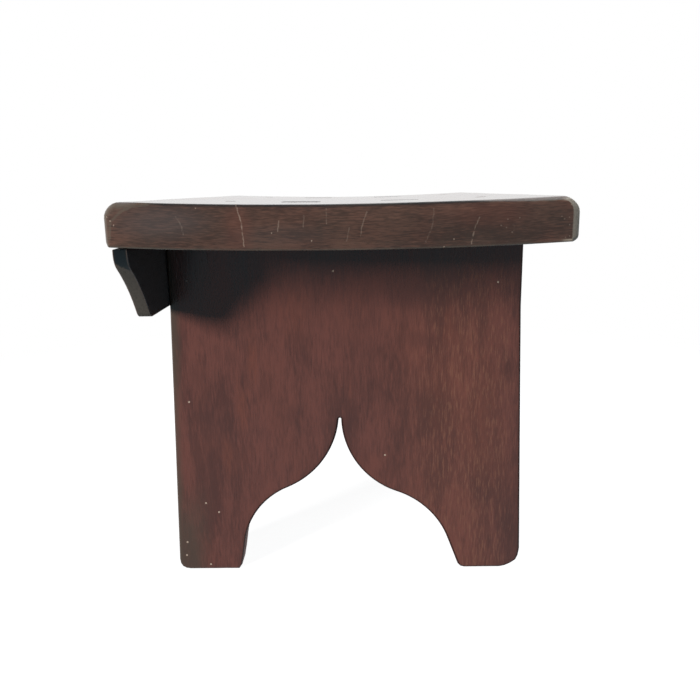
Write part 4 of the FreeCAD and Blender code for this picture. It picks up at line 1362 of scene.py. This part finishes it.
# Soft boxes: name, setting of the power, place, width, height, and whether glossy surfaces show it
LAMPS = (
    ("key_lamp", "key_power", Vector((-1.94, -2.07, 0.94)), 0.45, 0.78, False),
    ("over_lamp", "over_power", Vector((0.25, 0.35, 1.6)), 1.2, 1.2, True),
    ("back_lamp", "back_power", Vector((1.3, 1.2, 0.7)), 1.0, 1.0, False),
    ("side_lamp", "side_power", Vector((1.9, 0.9, 0.45)), 2.4, 1.0, True),
)
WHITE = (1.0, 1.0, 1.0, 1.0)
COOL = (0.35, 0.75, 1.0, 1.0)
FLOOR_SPAN = 12.0
FLOOR_TONE = 0.26
FLOOR_BOUNCE = 0.015
FLOOR_GLOW = 0.92
SHADOW_REACH = (0.35, 0.75)


def aim_lamp(name, power, place, width, height, mirrored):
    """A soft box turned to the stool; mirrored says whether glossy surfaces show it."""
    data = bpy.data.lights.new(name, "AREA")
    data.energy = power
    data.shape = "RECTANGLE"
    data.size = width
    data.size_y = height
    lamp = bpy.data.objects.new(name, data)
    lamp.visible_glossy = mirrored
    lamp.location = place
    lamp.rotation_euler = (AIM - place).to_track_quat("-Z", "Y").to_euler()
    bpy.context.collection.objects.link(lamp)


def place_camera(lens):
    """Stand the camera just above the height of the seat, tilted down and slightly rolled."""
    ahead = Vector((
        math.sin(CAMERA_YAW) * math.cos(CAMERA_PITCH), math.cos(CAMERA_YAW) * math.cos(CAMERA_PITCH),
        -math.sin(CAMERA_PITCH)))
    level = Vector((math.cos(CAMERA_YAW), -math.sin(CAMERA_YAW), 0.0))
    down = ahead.cross(level)
    right = level * math.cos(CAMERA_ROLL) + down * math.sin(CAMERA_ROLL)
    down = down * math.cos(CAMERA_ROLL) - level * math.sin(CAMERA_ROLL)
    data = bpy.data.cameras.new("stool_camera")
    data.lens = lens
    data.sensor_width = SENSOR
    data.clip_start = CAMERA_NEAR
    camera = bpy.data.objects.new("stool_camera", data)
    turn = Matrix((right, -down, -ahead)).transposed()
    camera.matrix_world = Matrix.Translation(CAMERA_PLACE) @ turn.to_4x4()
    bpy.context.collection.objects.link(camera)
    bpy.context.scene.camera = camera


def seen_straight(finish):
    """1 for rays from the eye, and for those that a glossy or clear surface sends on."""
    kinds = ("Is Camera Ray", "Is Glossy Ray", "Is Transmission Ray")
    return strongest(finish.node("ShaderNodeLightPath", take=kind) for kind in kinds)


def light_room(level):
    """A white room to look at, whose light on the stool is soft and cool."""
    world = bpy.data.worlds.new("pale_room")
    world.use_nodes = True
    bpy.context.scene.world = world
    finish = Finish(world.node_tree)
    white = finish.node("ShaderNodeBackground", sockets={"Color": WHITE, "Strength": 1.0})
    soft = finish.node("ShaderNodeBackground", sockets={"Color": COOL, "Strength": level})
    room = finish.node("ShaderNodeMixShader", sockets={0: seen_straight(finish), 1: soft, 2: white})
    finish.node("ShaderNodeOutputWorld", sockets={"Surface": room})


def lay_floor():
    """A pale floor that shows the stool's shadow near it and is white further off."""
    bpy.ops.object.select_all(action="DESELECT")
    bpy.ops.mesh.primitive_plane_add(size=FLOOR_SPAN, location=(0.0, 0.0, 0.0))
    floor = bpy.context.object
    floor.name = "pale_floor"
    material, finish = new_finish("pale_floor_paper")
    paper, bounce = (finish.node("ShaderNodeBsdfDiffuse", sockets={"Color": (tone, tone, tone, 1.0)})
                     for tone in (FLOOR_TONE, FLOOR_BOUNCE))
    glow, white = (finish.node("ShaderNodeEmission", sockets={"Color": WHITE, "Strength": strength})
                   for strength in (FLOOR_GLOW, 1.0))
    both = finish.node("ShaderNodeAddShader", sockets={0: paper, 1: glow})
    far = finish.fade(finish.vector("LENGTH", finish.spot(), take=1), *SHADOW_REACH)
    shown = finish.node("ShaderNodeMixShader", sockets={0: far, 1: both, 2: white})
    mixed = finish.node("ShaderNodeMixShader", sockets={0: seen_straight(finish), 1: bounce, 2: shown})
    finish.node("ShaderNodeOutputMaterial", sockets={"Surface": mixed})
    floor.data.materials.append(material)


class STOOL_OT_stage(bpy.types.Operator):
    """Set the floor, the lamps, the room light and the camera"""

    bl_idname = "stool.stage"
    bl_label = "Stage"

    def execute(self, context):
        stage = context.scene.stool_stage
        lay_floor()
        for name, power, *setting in LAMPS:
            aim_lamp(name, getattr(stage, power), *setting)
        light_room(stage.sky)
        place_camera(stage.lens)
        context.scene.view_settings.view_transform = "Standard"
        return {"FINISHED"}


OPERATORS = (
    STOOL_OT_top_plank, STOOL_OT_leg_boards, STOOL_OT_side_apron, STOOL_OT_wedges, STOOL_OT_nails,
    STOOL_OT_stage,
)
SETTINGS = {"stool_sizes": StoolSizes, "stool_finish": StoolFinish, "stool_stage": StoolStage}


class STOOL_PT_pieces(bpy.types.Panel):
    """Lists the pieces of the footstool and their settings"""

    bl_idname = "STOOL_PT_pieces"
    bl_label = "Board Footstool"
    bl_space_type = "VIEW_3D"
    bl_region_type = "UI"
    bl_category = "Footstool"

    def draw(self, context):
        for operator in OPERATORS:
            self.layout.operator(operator.bl_idname)
        for name in SETTINGS:
            box = self.layout.box()
            settings = getattr(context.scene, name)
            for key in settings.__annotations__:
                box.prop(settings, key)


def register():
    for group in SETTINGS.values():
        bpy.utils.register_class(group)
    for operator in OPERATORS:
        bpy.utils.register_class(operator)
    bpy.utils.register_class(STOOL_PT_pieces)
    for name, group in SETTINGS.items():
        setattr(bpy.types.Scene, name, bpy.props.PointerProperty(type=group))


def unregister():
    for name in SETTINGS:
        delattr(bpy.types.Scene, name)
    bpy.utils.unregister_class(STOOL_PT_pieces)
    for kind in (*OPERATORS, *SETTINGS.values()):
        bpy.utils.unregister_class(kind)


def main():
    register()
    bpy.ops.stool.top_plank()
    bpy.ops.stool.leg_boards()
    bpy.ops.stool.side_apron()
    bpy.ops.stool.wedges()
    bpy.ops.stool.nails()
    bpy.ops.stool.stage()


if __name__ == "__main__":
    main()
